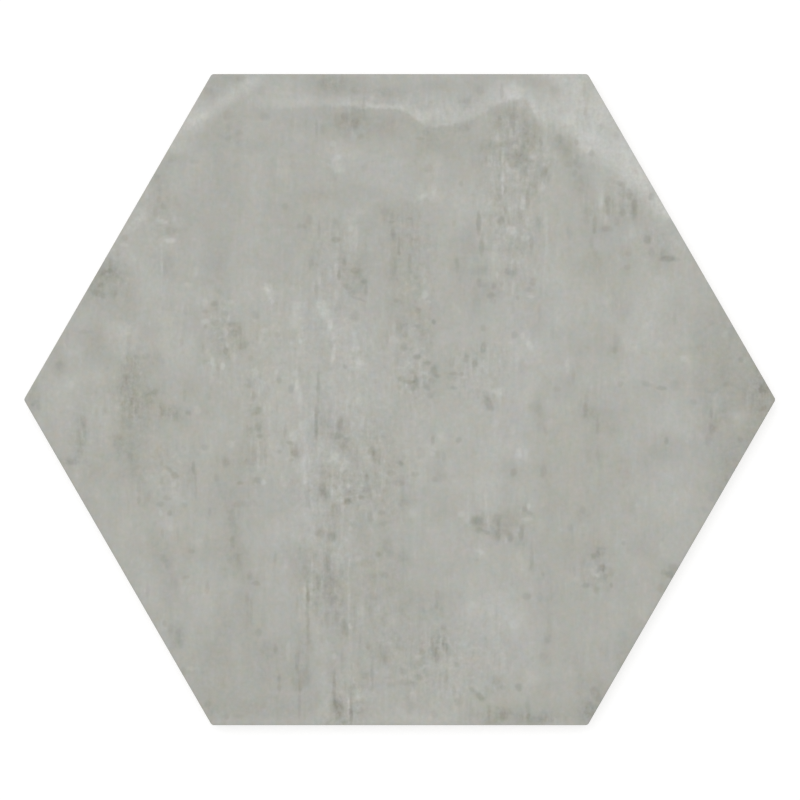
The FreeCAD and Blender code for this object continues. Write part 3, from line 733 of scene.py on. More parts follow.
FLECKS = marks(
    Layer.FLECK,
    # along the top, left to right
    (364, 106, 1.6, 9, -6), (349, 106, 2, 9, 6), (316, 128, 1.5, 9, -6), (585, 92, 1.6, 10, -4),
    (208, 92, 4, 4, -5), (241, 79, 5, 3, -6), (261, 92, 4, 4, -5), (252, 82, 7, 4, 4),
    (204, 116, 5, 4, 4.5), (323, 130, 3, 5, -4), (355, 91, 5, 5, -5), (388, 93, 8, 5, -4),
    (345, 117, 4, 4, -10), (355, 124, 4, 6, -10), (360, 112, 8, 10, -5), (338, 120, 5, 8, -4),
    (354, 136, 3, 5, 4.5), (361, 137, 3, 3, -6), (333, 144, 3, 3, 7), (337, 158, 4, 2.5, 7.5, 25),
    (364, 168, 3, 5, -4), (449, 107, 3, 5, 5), (428, 116, 4, 4, 4.5), (467, 102, 4, 3, -7),
    (426, 133, 3, 4, -5), (420, 139, 4, 1.5, -6), (463, 127, 6, 6, -5), (429, 169, 5, 4, -7.5),
    (422, 197, 6, 2.5, 7, 30), (434, 190, 2.5, 8, 4), (461, 184, 2, 3, -6), (384, 212, 4, 4, -4),
    (480, 91, 4, 4, -4.5),
    # worked column right of the middle
    (515, 92, 10, 7, 7), (513, 85, 4, 4, 4), (502, 92, 1.8, 8, -8), (556, 90, 5, 5, -5),
    (586, 114, 1.8, 5, -9), (587, 103, 1.8, 6, -5), (508, 113, 20, 5, -4), (500, 122, 2, 7, -7),
    (513, 122, 3, 8, -8), (517, 130, 2, 10, 6), (511, 133, 1.8, 5, 8), (498, 136, 1.8, 5, 9),
    (526, 128, 4, 7, -4), (531, 142, 6, 10, -4), (541, 143, 1.5, 5, -8), (515, 147, 4, 2, 9),
    (523, 148, 3, 4, -8), (505, 145, 6, 3, -8), (490, 147, 8, 3.5, -5), (533, 157, 3.5, 3, 9),
    (520, 158, 9, 6, -7), (515, 165, 6, 4, -6), (524, 172, 4, 6, -5), (490, 161, 2.5, 6, 10),
    (503, 168, 1.2, 20, 5),
    (503, 157, 2, 7, 7), (508, 168, 2, 6, 8, 15), (500, 160, 1.5, 5, -6), (503, 178, 2.5, 4, 11),
    (544, 173, 3.5, 6, -11), (541, 182, 1.8, 6, -5), (546, 150, 3, 14, 4), (543, 187, 2.5, 4, 8),
    (503, 190, 1.5, 5, 9), (506, 190, 1.5, 4, -7), (536, 180, 3, 12, -5), (528, 200, 1.8, 12, -10),
    (499, 198, 3.5, 4, -8), (506, 210, 2, 5, -8, -15), (523, 205, 2.5, 8, 8), (520, 214, 4, 5, -6),
    (512, 211, 4, 5, 5), (479, 223, 2.2, 11, -15), (501, 221, 3.5, 4.5, -16),
    (512, 230, 5, 4, 10, -20), (526, 238, 3.5, 4, 9), (532, 243, 2, 8, -8), (518, 240, 3, 3, -6),
    (513, 250, 5, 8, -4), (546, 225, 2.5, 12, 5), (547, 245, 2, 10, 4), (482, 248, 2.5, 8, -9),
    (486, 240, 1.8, 7, 5), (497, 233, 2, 2.5, -6), (527, 165, 2, 6, -5), (538, 223, 3, 5, -4),
    (545, 125, 3, 6, 4),
    # under the pale corner at the right
    (571, 118, 6, 7, 4), (602, 127, 4, 3, -5), (617, 137, 3, 4, -6), (590, 137, 5, 4, 4),
    (588, 150, 4, 3, 5, 30), (592, 154, 3, 3, -9), (577, 143, 2, 3, -8), (560, 139, 5, 4, -8),
    (563, 147, 8, 6, -6), (568, 153, 4, 4, -4), (576, 162, 3, 3, -7), (580, 166, 5, 3, -7),
    (569, 165, 4, 3, -6), (575, 173, 2.5, 4, -7), (578, 157, 2, 2.5, -6), (580, 184, 5, 8, -4),
    (621, 184, 3, 3, -9), (630, 195, 3, 5, -12), (635, 205, 3.5, 6, -12), (635, 214, 3, 5, -8),
    (608, 201, 3, 6, -11), (609, 212, 2, 4, -9), (588, 212, 3.5, 5, -6), (587, 221, 3, 5, -4),
    (595, 223, 2, 8, -8), (595, 231, 2, 3, -8), (607, 229, 5, 3, -9), (617, 222, 3, 4, -7),
    (623, 213, 3, 4, -7), (570, 232, 3, 7, -5), (601, 203, 2.5, 9, 4.5), (604, 218, 4, 6, 4),
    (633, 232, 4, 7, 4), (625, 240, 3, 5, 4), (648, 240, 3.5, 5, -14), (652, 252, 3, 5, -6),
    (668, 259, 8, 3, -15), (664, 254, 3, 5, -7), (676, 260, 5, 2, -7), (592, 243, 2, 6, -5),
    (596, 252, 3, 4, -5), (629, 254, 3, 3, -7), (628, 267, 3, 3, -6), (652, 197, 3, 4, -8),
    # left of the crest and down the left side
    (227, 115, 4, 5, -6), (229, 127, 3, 5, -4.5), (228, 139, 3, 3, -6), (238, 133, 4, 3, -4.5),
    (264, 117, 5, 4, -5), (236, 166, 4, 3, -4.5), (172, 158, 4, 4, -4), (170, 162, 3, 2, -6),
    (194, 162, 6, 2, -4.5), (156, 178, 3, 4, -5), (158, 200, 2.5, 3, -7), (163, 207, 3, 2.5, -6),
    (163, 222, 4.5, 2.5, 7), (169, 231, 6, 4, -5), (170, 241, 5, 2.5, 10), (156, 212, 3, 5, -4),
    (285, 207, 3, 3, -6), (299, 226, 2.5, 3, -6), (293, 166, 3, 4, -4.5), (124, 238, 3, 3, -8),
    (124, 245, 4, 2, 6), (109, 271, 3, 3, -9), (102, 272, 4, 4, -7), (100, 288, 3, 5, -6),
    (95, 293, 3.5, 4, -8), (102, 296, 3, 3, -6), (113, 294, 4, 4, -5), (135, 357, 2.5, 2.5, -8),
    (146, 356, 4, 3, -4.5), (126, 377, 4, 3, -6), (154, 392, 3.5, 3, -7.5), (134, 411, 3, 4, -8),
    (140, 417, 2.5, 2.5, -6), (66, 341, 2, 6, -5), (84, 332, 8, 2, -4), (59, 365, 4, 4, -6),
    (69, 384, 4, 5, 4.5), (32, 405, 2, 2, -8), (35, 402, 3, 2, -6), (38, 407, 2.5, 3, -6),
    (33, 387, 3, 4, -4.5), (82, 422, 3, 6, -5), (80, 450, 3, 8, -4.5), (73, 462, 5, 2.5, -7.5),
    (118, 438, 3, 3, -6), (129, 456, 3, 4, -7), (132, 470, 3, 5, -4), (148, 477, 4, 3.5, 5),
    (138, 488, 2, 6, -4.5), (138, 500, 1.8, 4, -7.5), (148, 496, 2, 5, -6), (164, 270, 1.5, 10, -4),
    (161, 262, 1, 14, 4), (195, 272, 2.5, 6, 5, -15), (187, 285, 6, 2.5, 4.5),
    (210, 281, 4, 3, -4.5), (219, 292, 2.5, 3, -6), (185, 311, 2, 5, -6),
    # worked patch at the left
    (214, 304, 4, 3, -11), (204, 303, 3, 4, 6), (205, 312, 3, 2, -7), (205, 321, 4, 2.5, 9),
    (205, 327, 2, 2, -7), (225, 314, 3, 3, -8), (228, 318, 1.5, 3, 6), (230, 302, 3, 3, 6),
    (215, 323, 5, 3, -9), (225, 332, 3, 4, 8, 20), (234, 333, 5, 4, -9), (232, 325, 4, 3, -8),
    (240, 328, 3, 2, -6), (227, 345, 1.8, 3, 9), (225, 351, 2.5, 4, -11), (222, 340, 3, 2, -6),
    (242, 346, 6, 3, -7, 20), (201, 348, 3, 6, -4), (206, 361, 3, 1.5, -6), (212, 362, 2, 5, 9),
    (222, 366, 2.5, 3.5, 12), (217, 370, 2, 7, -6), (233, 357, 4, 5, 4), (250, 358, 2.5, 2.5, -6),
    (181, 342, 2, 4, -6), (255, 315, 4, 4, -8, -30), (264, 331, 4, 3, 5), (277, 335, 3, 3, -6),
    (267, 291, 3, 7, 5, 15), (272, 302, 2, 2.5, 8), (254, 372, 5, 3, 7), (276, 372, 2.5, 3, 7),
    (279, 380, 2.5, 4, -9), (295, 373, 3, 3, 6), (297, 384, 2.5, 5, 6), (291, 389, 2.5, 4, -10),
    (248, 384, 3, 5, -7), (253, 396, 1.8, 5, -10), (197, 410, 3, 4, 6), (184, 396, 2, 6, -5),
    (208, 396, 3, 5, -4), (188, 413, 3, 2.5, -8), (257, 411, 4, 4, -9), (254, 414, 3, 2, -6),
    (258, 427, 3, 5, -8), (251, 430, 3.5, 3, -8), (259, 436, 3, 2.5, -8), (264, 407, 1.5, 4, 6),
    (285, 431, 2, 6, -8), (293, 435, 4, 5, 6), (290, 443, 4, 2, -9, -20), (294, 453, 3.5, 3, -9),
    (296, 447, 2, 4, -6), (291, 460, 2.5, 1.5, -8), (279, 452, 2.5, 2, -8), (265, 456, 1.5, 12, -6),
    (258, 455, 1.5, 14, 7), (253, 456, 2, 13, -6), (257, 480, 4, 3, -8), (263, 482, 3, 3, 9),
    (291, 482, 2.5, 3, -6), (204, 447, 3, 3, -8), (230, 444, 4, 4, 6), (225, 462, 4, 5, -8),
    (246, 462, 2.5, 3, -8), (193, 467, 1.8, 6, -11), (195, 478, 1.5, 6, -6), (195, 492, 1.5, 7, -6),
    (216, 478, 2.5, 4, -6), (240, 483, 3, 1.8, -8), (240, 504, 7, 3.5, -7), (253, 503, 4, 3, -5),
    (209, 512, 1.8, 4, -7), (161, 463, 2, 3, -6), (168, 469, 4, 2.5, -11, -35),
    (174, 475, 4, 3, -12, -40), (161, 481, 2, 4, -7), (173, 484, 2.5, 2.5, 7),
    (166, 498, 3.5, 2.5, -9), (160, 504, 4, 2.5, -7), (184, 505, 2.5, 3, -7),
    (169, 513, 2.5, 3, -11), (160, 513, 1.8, 3, 7), (154, 523, 2, 2.5, -6), (170, 528, 3, 3, 6, 40),
    (162, 533, 1.5, 5, -7), (177, 535, 1.5, 8, -5),
    # lower left
    (231, 515, 3, 8, -4), (232, 541, 2.5, 6, -7), (191, 551, 3, 2.5, -7), (198, 542, 4, 4, 4),
    (163, 558, 4, 4, -5), (167, 564, 4, 5, -4.5), (186, 577, 3, 1.8, -7), (175, 584, 2, 6, -4.5),
    (182, 587, 2.5, 7, 4.5), (147, 590, 2, 8, -4), (207, 586, 1.8, 6, -5), (237, 556, 4, 4, -5),
    (239, 563, 3, 4, -5), (249, 575, 2.5, 4, -6), (256, 583, 4, 2.5, -9), (247, 598, 2, 6, -6),
    (251, 610, 1.5, 14, -4), (247, 618, 2, 8, -4), (258, 632, 3, 4, -6), (275, 558, 1.5, 6, -7),
    (164, 623, 2, 3, -7), (170, 628, 3, 5, -5), (178, 632, 2.5, 4, -6), (177, 639, 3, 4, -6),
    (172, 645, 3, 5, -5), (180, 644, 3, 4, -4.5), (190, 668, 5, 2.5, 6), (183, 670, 3, 4, -6),
    (207, 704, 3, 4, -6), (226, 716, 2.5, 3, -7), (237, 715, 5, 2.5, -4.5),
    (275, 648, 2.5, 4, -7.5), (279, 678, 2, 4, -7.5), (279, 687, 2, 4, -7.5), (288, 652, 2, 10, 6),
    (296, 667, 2, 3, -6),
    # lower middle
    (307, 610, 1.6, 30, -4), (299, 668, 1.5, 26, -4), (317, 594, 1.5, 22, -3),
    (355, 614, 1.5, 22, -4), (327, 556, 1.5, 12, -5), (373, 672, 1.5, 14, -3),
    (349, 596, 1.6, 34, 4), (348, 704, 1.6, 12, 5), (312, 574, 1.5, 16, 4), (304, 606, 1.5, 14, 4),
    (299, 704, 1.6, 14, -6), (351, 708, 1.6, 16, -6), (489, 712, 1.8, 12, -4),
    (471, 712, 1.8, 12, -4), (327, 562, 3.5, 13, -8), (330, 583, 8, 9, -6), (326, 592, 3.5, 9, -7),
    (334, 599, 5, 4, -8), (318, 580, 2.5, 7, -9), (306, 572, 5, 6, -5), (308, 596, 1.8, 6, -12),
    (304, 592, 1.8, 7, 6), (316, 608, 1.8, 12, -5), (341, 572, 2.5, 5, -7), (327, 617, 2.5, 9, -8),
    (337, 615, 3, 8, -7), (345, 628, 4, 8, -10, 15), (350, 626, 2, 3, 10), (308, 632, 1.6, 16, -5),
    (307, 660, 2, 12, -5), (297, 660, 2, 12, -6), (305, 677, 6, 9, -7), (300, 664, 3, 5, 5),
    (295, 684, 5, 7, -5), (323, 650, 7, 10, 4), (334, 656, 2.5, 3, 7), (342, 660, 1.8, 12, -5),
    (334, 687, 1.8, 16, -11), (333, 697, 2, 6, -7), (337, 706, 6, 6, -14), (338, 715, 3, 5, -10),
    (351, 716, 1.8, 9, -12), (345, 722, 3, 3, -9), (357, 693, 4, 7, 5), (372, 675, 1.6, 14, -6),
    (370, 610, 1.8, 7, -6), (383, 617, 4, 7, -7), (377, 608, 3, 3, 6), (373, 596, 7, 4, -5),
    (372, 576, 6, 3, -4), (385, 575, 4, 3, -7), (378, 554, 3, 3, -9), (368, 645, 2, 4, -8),
    (380, 655, 2, 8, -5), (385, 660, 2.5, 5, -7), (403, 671, 4, 4, -9), (405, 682, 9, 3, -6),
    (391, 684, 4, 3, -5), (413, 695, 3, 6, 5), (418, 657, 3, 3, 6), (365, 675, 4, 4, -5),
    (390, 555, 3, 5, -5), (388, 545, 4, 8, -4), (317, 700, 3, 8, -4), (300, 688, 2, 4, -6),
    (366, 563, 8, 4, -4), (391, 590, 5, 7, -4), (311, 588, 2, 8, 4),
    # worked patch in the middle
    (342, 510, 1.6, 28, 5), (333, 355, 2, 9, 9, -10), (338, 362, 2.5, 7, -5),
    (345, 367, 2.5, 2.5, -9), (355, 349, 4, 3, 7), (360, 363, 4, 3, 8), (296, 386, 2, 7, 5),
    (300, 400, 3, 10, 6), (318, 388, 1.7, 20, -10), (316, 423, 1.8, 18, -12), (302, 425, 4, 4, 5),
    (295, 452, 4, 6, -6, 20), (304, 462, 2.5, 6, 6), (305, 478, 2.5, 6, 9), (340, 424, 3, 7, -10),
    (335, 436, 6, 3.5, -10), (347, 440, 3, 3, -8), (343, 447, 4, 5, -6), (335, 456, 4, 4, 7),
    (343, 467, 2.5, 6, 8, -25), (348, 486, 2, 2.5, 9), (348, 491, 3, 2, -9),
    (348, 501, 4, 3.5, -12), (348, 497, 4, 1.5, 6), (356, 490, 5, 2, 6), (361, 497, 3, 2.5, -12),
    (368, 488, 4, 4, -8), (367, 478, 2.5, 4, -6), (322, 489, 4, 7, -10), (327, 495, 3, 4, -7),
    (325, 474, 5, 5, -5), (334, 512, 3.5, 10, -6), (320, 533, 5, 4, -8), (332, 536, 5, 4, -8),
    (338, 495, 3, 10, 4), (372, 452, 4, 4, -9), (370, 517, 3, 6, -8), (382, 513, 3.5, 3, -8),
    (384, 523, 3, 3, -7), (375, 516, 3, 4, 6), (350, 528, 2, 2.5, 7), (390, 473, 5, 3, -6),
    (400, 463, 4, 2, -7, -20), (398, 483, 7, 3, -6), (374, 493, 2, 5, 6), (377, 440, 1.5, 4, -6),
    (353, 434, 1.5, 3, 6), (362, 422, 2, 6, 5), (360, 400, 3, 6, 4), (322, 422, 3, 6, -4),
    (320, 447, 4, 4, 4), (365, 425, 2, 10, -4),
    # upper middle
    (387, 338, 1.5, 7, -6), (421, 374, 1.8, 16, 6), (574, 376, 1.8, 9, -5), (568, 366, 2, 7, 4),
    (309, 220, 3, 5, -7), (305, 226, 3, 3, -6), (319, 230, 1.6, 8, -7), (336, 240, 4.5, 3, -10),
    (336, 225, 4, 6, -5), (351, 229, 3, 3, 7), (355, 240, 2.5, 12, 4), (392, 222, 3, 1.5, -8),
    (392, 216, 3, 3, -6), (385, 214, 4, 8, -4), (410, 219, 3, 1.5, -8), (393, 234, 2.5, 6, -8),
    (411, 240, 2, 5, -8), (399, 245, 1.5, 9, -7), (399, 254, 2, 2, -8), (410, 262, 2, 8, -6),
    (393, 267, 4, 9, -5), (311, 263, 2.5, 5, -7), (344, 262, 2.5, 4, -8), (339, 275, 1.8, 4.5, -13),
    (336, 268, 1.8, 8, 5), (355, 271, 5, 3, -9), (356, 276, 4, 4, -5), (364, 282, 3, 2.5, -11),
    (347, 287, 4, 3, -8, -30), (352, 293, 3.5, 2.5, -8), (358, 299, 8, 1.5, -7, -20),
    (366, 291, 2, 6, -6), (316, 291, 1.8, 8, -8), (319, 281, 1.5, 4, 7), (297, 306, 4, 4, 6),
    (293, 320, 4, 8, 6), (322, 305, 4, 5, 5), (326, 313, 4, 5, 7, -30), (330, 324, 2.5, 5, 7),
    (355, 316, 4, 5, -8), (300, 342, 2, 3, 7), (355, 340, 3, 7, 5), (418, 311, 3, 3, -9),
    (434, 322, 2, 2.5, -14), (427, 323, 3, 4, 5), (425, 295, 3.5, 4, 8), (433, 293, 2, 5, -7),
    (429, 302, 3, 1.5, 7), (425, 281, 2, 3, 6), (418, 278, 3, 2, -6), (405, 325, 2.5, 2, -8),
    (405, 335, 3, 3, -8), (399, 328, 3, 6, -4), (394, 327, 2, 4, 6), (393, 340, 5, 4, 5),
    (411, 333, 3, 5, 5), (417, 326, 3, 2, -6), (397, 301, 4, 2, -6), (457, 265, 2, 7, -6),
    (454, 224, 2, 3, -6), (477, 261, 3, 5, -5), (480, 271, 8, 5, -4), (479, 283, 2.5, 5, -7),
    (484, 285, 3, 2, -6), (494, 286, 2.5, 3, -8), (491, 296, 4, 3, -10), (493, 302, 3, 3, -6),
    (502, 284, 2, 3, -7), (510, 272, 7, 3, -6, -15), (497, 275, 1.5, 3, 6), (514, 287, 2, 7, 5),
    (533, 282, 3, 4, -8), (530, 290, 4, 2.5, -8), (531, 297, 4, 1.5, 7), (538, 286, 2, 8, 4),
    (518, 298, 2, 3, -8), (476, 306, 4, 10, -4), (483.5, 328, 2.5, 3, -7), (515, 335, 3.5, 3.5, -9),
    (523, 336, 2, 3, 8), (530, 345, 3, 6, 8, 20), (484, 348, 3, 5, -10), (540, 313, 2, 8, -4),
    # worked column in the middle
    (422, 336, 3, 6, -5), (404, 347, 3.5, 4, -10), (417, 357, 4, 2.5, -15), (428, 363, 3, 2.5, -8),
    (434, 371, 3, 6, -11), (438, 376, 3, 2, -9), (425, 377, 3, 2, -6), (416, 381, 2.5, 5, -12),
    (409, 382, 6, 1.8, -11), (402, 379, 4, 3, -8), (413, 389, 2, 4, -10), (411, 371, 2.5, 2.5, -6),
    (427, 386, 3, 5, -9, 25), (432, 381, 4, 2.5, -7), (430, 395, 3, 3, -7), (454, 374, 5, 1.8, -9),
    (462, 374, 2, 2, -8), (454, 388, 4, 1.8, -8), (452, 363, 3, 5, -6), (466, 358, 2.5, 5, -8),
    (475, 364, 2.5, 5, -11), (487, 396, 3, 5, -9, 25), (489, 404, 3.5, 7, -14, 25),
    (499, 393, 3, 5, 7), (494, 391, 2, 3, 6), (535, 406, 6, 5, -5), (540, 412, 3, 6, -4),
    (558, 389, 4, 3, -6), (433, 440, 2, 4, -10), (441, 436, 4, 5, 4), (433, 454, 3, 2.5, 6),
    (431, 447, 6, 2, 5, -25), (459, 440, 3, 3, -10), (438, 455, 3, 4, -6), (444, 457, 2, 5, -6),
    (421, 452, 4, 6, -4), (434, 479, 3, 3, -6), (440, 477, 6, 5, -5), (415, 474, 4, 2.5, -7),
    (402, 480, 3, 5, -6), (401, 463, 2.5, 3, -6), (405, 503, 6, 4, -6), (412, 513, 4, 4, 5),
    (461, 514, 3, 3, 6), (519, 453, 3, 5, 7), (526, 455, 2, 7, 4), (496, 424, 4, 4, 4),
    (513, 430, 3, 5, 4), (546, 431, 2, 5, -6), (541, 427, 4, 5, -4),
    # knot right of the middle
    (478, 521, 5, 6, -13), (483, 515, 1.8, 5, -7), (479, 530, 4, 3, -8), (487, 532, 4, 2, -8, -20),
    (488.5, 522, 1.5, 7, 9), (497, 519, 4, 6, -9), (499, 527, 2, 6, -5), (498, 535, 3, 6, -10),
    (508, 520, 9, 10, -5), (511, 537, 3, 5, -12), (506, 532, 4, 3, -6), (506, 540, 1.5, 3, 7),
    (523, 527, 3, 3, -8), (521.5, 534, 2.5, 6, -11), (525, 509, 3, 3, -9),
    (530, 513, 3, 2, -8, -25), (529, 506, 1.8, 3, 8), (527, 519, 5, 1.8, 6), (514, 472, 3, 4, -9),
    (544, 471, 3, 6, -7), (486, 498, 1.5, 10, 5), (480, 551, 6, 2.5, 6, -30), (532, 559, 2, 9, -7),
    (403, 556, 6, 5, -4),
    # right side
    (617, 303, 2, 6, -5), (606, 301, 5, 4, 4, -25), (647, 326, 5, 3, 4), (675, 319, 2, 6, -4.5),
    (660, 345, 5, 4, 4), (617, 342, 3, 10, -4), (615, 350, 3.5, 3.5, -7), (685, 359, 4, 3, 6),
    (702, 347, 5, 3, -4.5), (712, 323, 2, 3, -6), (621, 384, 3, 3, -7), (647, 384, 6, 2.5, -6, -15),
    (662, 388, 5, 2, -10.5), (676, 385, 5, 5, -4), (586, 410, 2.5, 7, -7), (587, 400, 2, 8, -4),
    (598, 426, 1.8, 7, -7), (627, 270, 4, 5, -4), (726, 335, 3, 4, 6), (732, 334, 3, 6, -4),
    (742, 360, 2.5, 3, -7.5), (747, 360, 2.5, 3, 6), (728, 384, 5, 2.5, -5), (712, 390, 6, 3, -4),
    (694, 402, 4, 3, -4.5), (764, 390, 5, 4, -8), (758, 372, 2, 3, -7), (768, 397, 3, 2, 6),
    (765, 408, 3, 3, -9), (739, 419, 3, 6, 4), (717, 402, 4, 8, 4), (712, 413, 2, 4, -7),
    (713, 428, 3.5, 4, -8), (724, 427, 4, 5, 4.5), (741, 440, 3, 3, -6), (709, 441, 3, 6, -4.5),
    (727, 478, 2, 4, -6), (712, 498, 3, 4, -5), (667, 441, 2, 4, -9), (598, 455, 2, 6, -5),
    (705, 509, 4, 3, -4.5), (663, 546, 3, 5, 4), (624, 543, 2, 2.5, -7), (583, 510, 3, 4, -5),
    (571, 527, 3, 4, -5),
    # lower right
    (594, 556, 2.5, 3, -9), (598, 554, 2.5, 4, -11), (602, 550, 5, 5, -5),
    (603, 568, 3.5, 3.5, -15), (606, 576, 2.5, 3, -10), (612, 572, 3, 5, -6), (598, 575, 2, 2, 9),
    (594, 570, 3, 6, 5), (586, 585, 3.5, 3, -9), (575, 571, 1.8, 5, -6), (583, 561, 3, 5, -5),
    (612, 585, 1.8, 2.5, -9), (597, 590, 3, 4, -6), (603, 588, 3, 8, 4), (674, 567, 5, 4, -7),
    (670, 574, 4, 3.5, -13), (664, 572, 3, 3, -6), (662, 588, 4, 5, -8), (422, 651, 3, 3.5, -11),
    (434, 645, 3, 9, -8), (437, 656, 2.5, 6, -9), (445, 646, 4, 4, -9), (449, 651, 3, 4, -6),
    (437, 595, 2.5, 5, -7), (437, 605, 2, 4, -8), (442, 612, 3, 5, -5), (427, 606, 3, 5, 5),
    (444, 627, 2.5, 3, -6), (457, 665, 2, 3, -7), (527, 596, 4.5, 3, -9), (519, 687, 3.5, 4, -12),
    (503, 687, 2.5, 3, -7), (496, 679, 4, 5, -4), (548, 639, 4, 4, -5), (544, 656, 4, 4, -4),
    (533, 567, 4, 6, -6), (543, 574, 2, 2, -7), (472, 689, 3.5, 2, -8, -40),
    (480, 696, 6, 3, -13, -38), (505, 722, 20, 6, -5), (503, 714, 3, 7, -5), (535, 720, 16, 5, -5),
    (544, 715, 4, 5, -5), (457, 701, 2.5, 4, -8), (434, 714, 3, 4, -5), (440, 680, 1.5, 8, -5),
    (446, 680, 2, 8, -5), (454, 690, 2, 6, -6), (419, 677, 5, 3, -8), (426, 672, 3, 5, -7),
    (413, 684, 4, 3, -6), (413, 665, 4, 4, -5), (422, 663, 4, 3, -5), (528, 710, 2.5, 12, -6),
    (515, 624, 5, 5, 5), (472, 604, 4, 4, 4), (550, 626, 2.5, 14, -4), (540, 597, 3, 5, -5),
    (590, 708, 5, 7, -7), (594, 690, 4, 4, -7), (599, 697, 3, 5, -8),
)

BROAD_MARKS = DARK_CLOUDS + LIGHT_CLOUDS + STAINS + WARMTHS + WORKED_PATCHES


@dataclass(frozen=True)
class SmoothNoise:
    """Seeded noise over the face that passes smoothly from one grain to the next."""

    seed: int
    grain: float  # mm
    reach: float = 200.0  # mm from the centre, more than the face has

    def at(self, points: np.ndarray) -> np.ndarray:
        """Noise at points of the face.

        Args:
            points: Places on the face, in millimetres.

        Returns:
            Two values for each point, from -0.5 to 0.5.
        """
        cells = int(2 * self.reach / self.grain) + 2
        values = np.random.default_rng(self.seed).random((cells, cells, 2)) - 0.5
        place = (points + self.reach) / self.grain
        cell = place.astype(int)
        share = place - cell
        share = share * share * (3 - 2 * share)
        column, row = cell.T
        right, up = share[:, :1], share[:, 1:]
        lower = values[column, row] * (1 - right) + values[column + 1, row] * right
        upper = values[column, row + 1] * (1 - right) + values[column + 1, row + 1] * right
        return lower * (1 - up) + upper * up


class PrintPlan:
    """The print's broad layout, which the mesh's points hold."""

    layers = (Layer.CLOUD, Layer.STAIN, Layer.WARMTH, Layer.GRAIN)
    broad_noise = SmoothNoise(seed=11, grain=14.0)
    fine_noise = SmoothNoise(seed=12, grain=3.0)

    def __init__(self, mesh: bpy.types.Mesh) -> None:
        """Reads the points and the noise at them.

        Args:
            mesh: The piece's mesh.
        """
        self.mesh = mesh
        self.points = vectors(mesh.vertices, "co")[:, :2] / MM
        self.drift = self.broad_noise.at(self.points)
        self.shake = self.fine_noise.at(self.points)

    def store(self) -> None:
        """Draws every layer and keeps it on the points."""
        for layer in self.layers:
            values = self.mesh.attributes.new(layer.value, "FLOAT", "POINT").data
            values.foreach_set("value", self._drawn(layer))

    def _drawn(self, layer: Layer) -> np.ndarray:
        """Adds up the marks of one layer.

        Args:
            layer: The layer.

        Returns:
            Its value at every point.
        """
        style = STYLES[layer]
        at = self.points + self.drift * style.drift + self.shake * style.ragged
        drawn = np.zeros(len(at))
        for mark in BROAD_MARKS:
            if mark.layer is layer:
                drawn += style.strength * self._oval(at, mark)
        return drawn

    @staticmethod
    def _oval(at: np.ndarray, mark: Mark) -> np.ndarray:
        """Draws one mark.

        Args:
            at: Places on the tile, in millimetres.
            mark: The mark.

        Returns:
            The tone that it adds at every place.
        """
        away = at - mark.middle_mm
        along = away @ mark.ways[0] / mark.wide_px
        across = away @ mark.ways[1] / mark.high_px
        edge = STYLES[mark.layer].edge
        reach = np.hypot(along, across) * PHOTO.view_px_per_mm
        share = np.clip((1 + edge - reach) / (2 * edge), 0, 1)
        return mark.tone * share * share * (3 - 2 * share)


class FleckPlan:
    """The small firm marks: every face holds the few that touch it, as exact ovals.

    A slot is three vectors on the faces: the oval's middle with its tone, and the two ways
    across it, each as long as one over its half size.
    """

    slots = 5
    margin_mm = 1.3  # a face's own reach and the raggedness of the outlines

    def __init__(self, mesh: bpy.types.Mesh) -> None:
        """Reads the middles of a mesh's faces."""
        self.mesh = mesh
        self.middles = vectors(mesh.polygons, "center")[:, :2] / MM

    @staticmethod
    def names(slot: int) -> tuple[str, str, str]:
        """Names of one slot's attributes."""
        return f"fleck_{slot}_middle", f"fleck_{slot}_along", f"fleck_{slot}_across"

    def store(self) -> None:
        """Hands every fleck to the faces that it touches."""
        held = np.zeros((self.slots, 3, len(self.middles), 3))
        taken = np.zeros(len(self.middles), int)
        dropped = 0
        for mark in FLECKS:
            near = self._touched(mark)
            dropped += int(np.sum(taken[near] >= self.slots))
            near = near[taken[near] < self.slots]
            slot = taken[near]
            held[slot, 0, near] = (*mark.middle_mm, STYLES[mark.layer].strength * mark.tone)
            held[slot, 1, near, :2] = mark.ways[0] / mark.half_mm[0]
            held[slot, 2, near, :2] = mark.ways[1] / mark.half_mm[1]
            taken[near] += 1
        LOG.info("laid %d flecks, %d places too crowded", len(FLECKS), dropped)
        for slot in range(self.slots):
            for name, values in zip(self.names(slot), held[slot]):
                layer = self.mesh.attributes.new(name, "FLOAT_VECTOR", "FACE")
                layer.data.foreach_set("vector", values.ravel())

    def _touched(self, mark: Mark) -> np.ndarray:
        """Finds the faces that a mark touches.

        Args:
            mark: The mark.

        Returns:
            The faces' numbers.
        """
        reach = 1 + STYLES[mark.layer].edge
        limits = [half * reach + self.margin_mm for half in mark.half_mm]
        away = self.middles - mark.middle_mm
        around = np.flatnonzero(np.all(np.abs(away) < max(limits), axis=1))
        along, across = (away[around] @ mark.ways.T / limits).T
        return around[np.hypot(along, across) < 1]


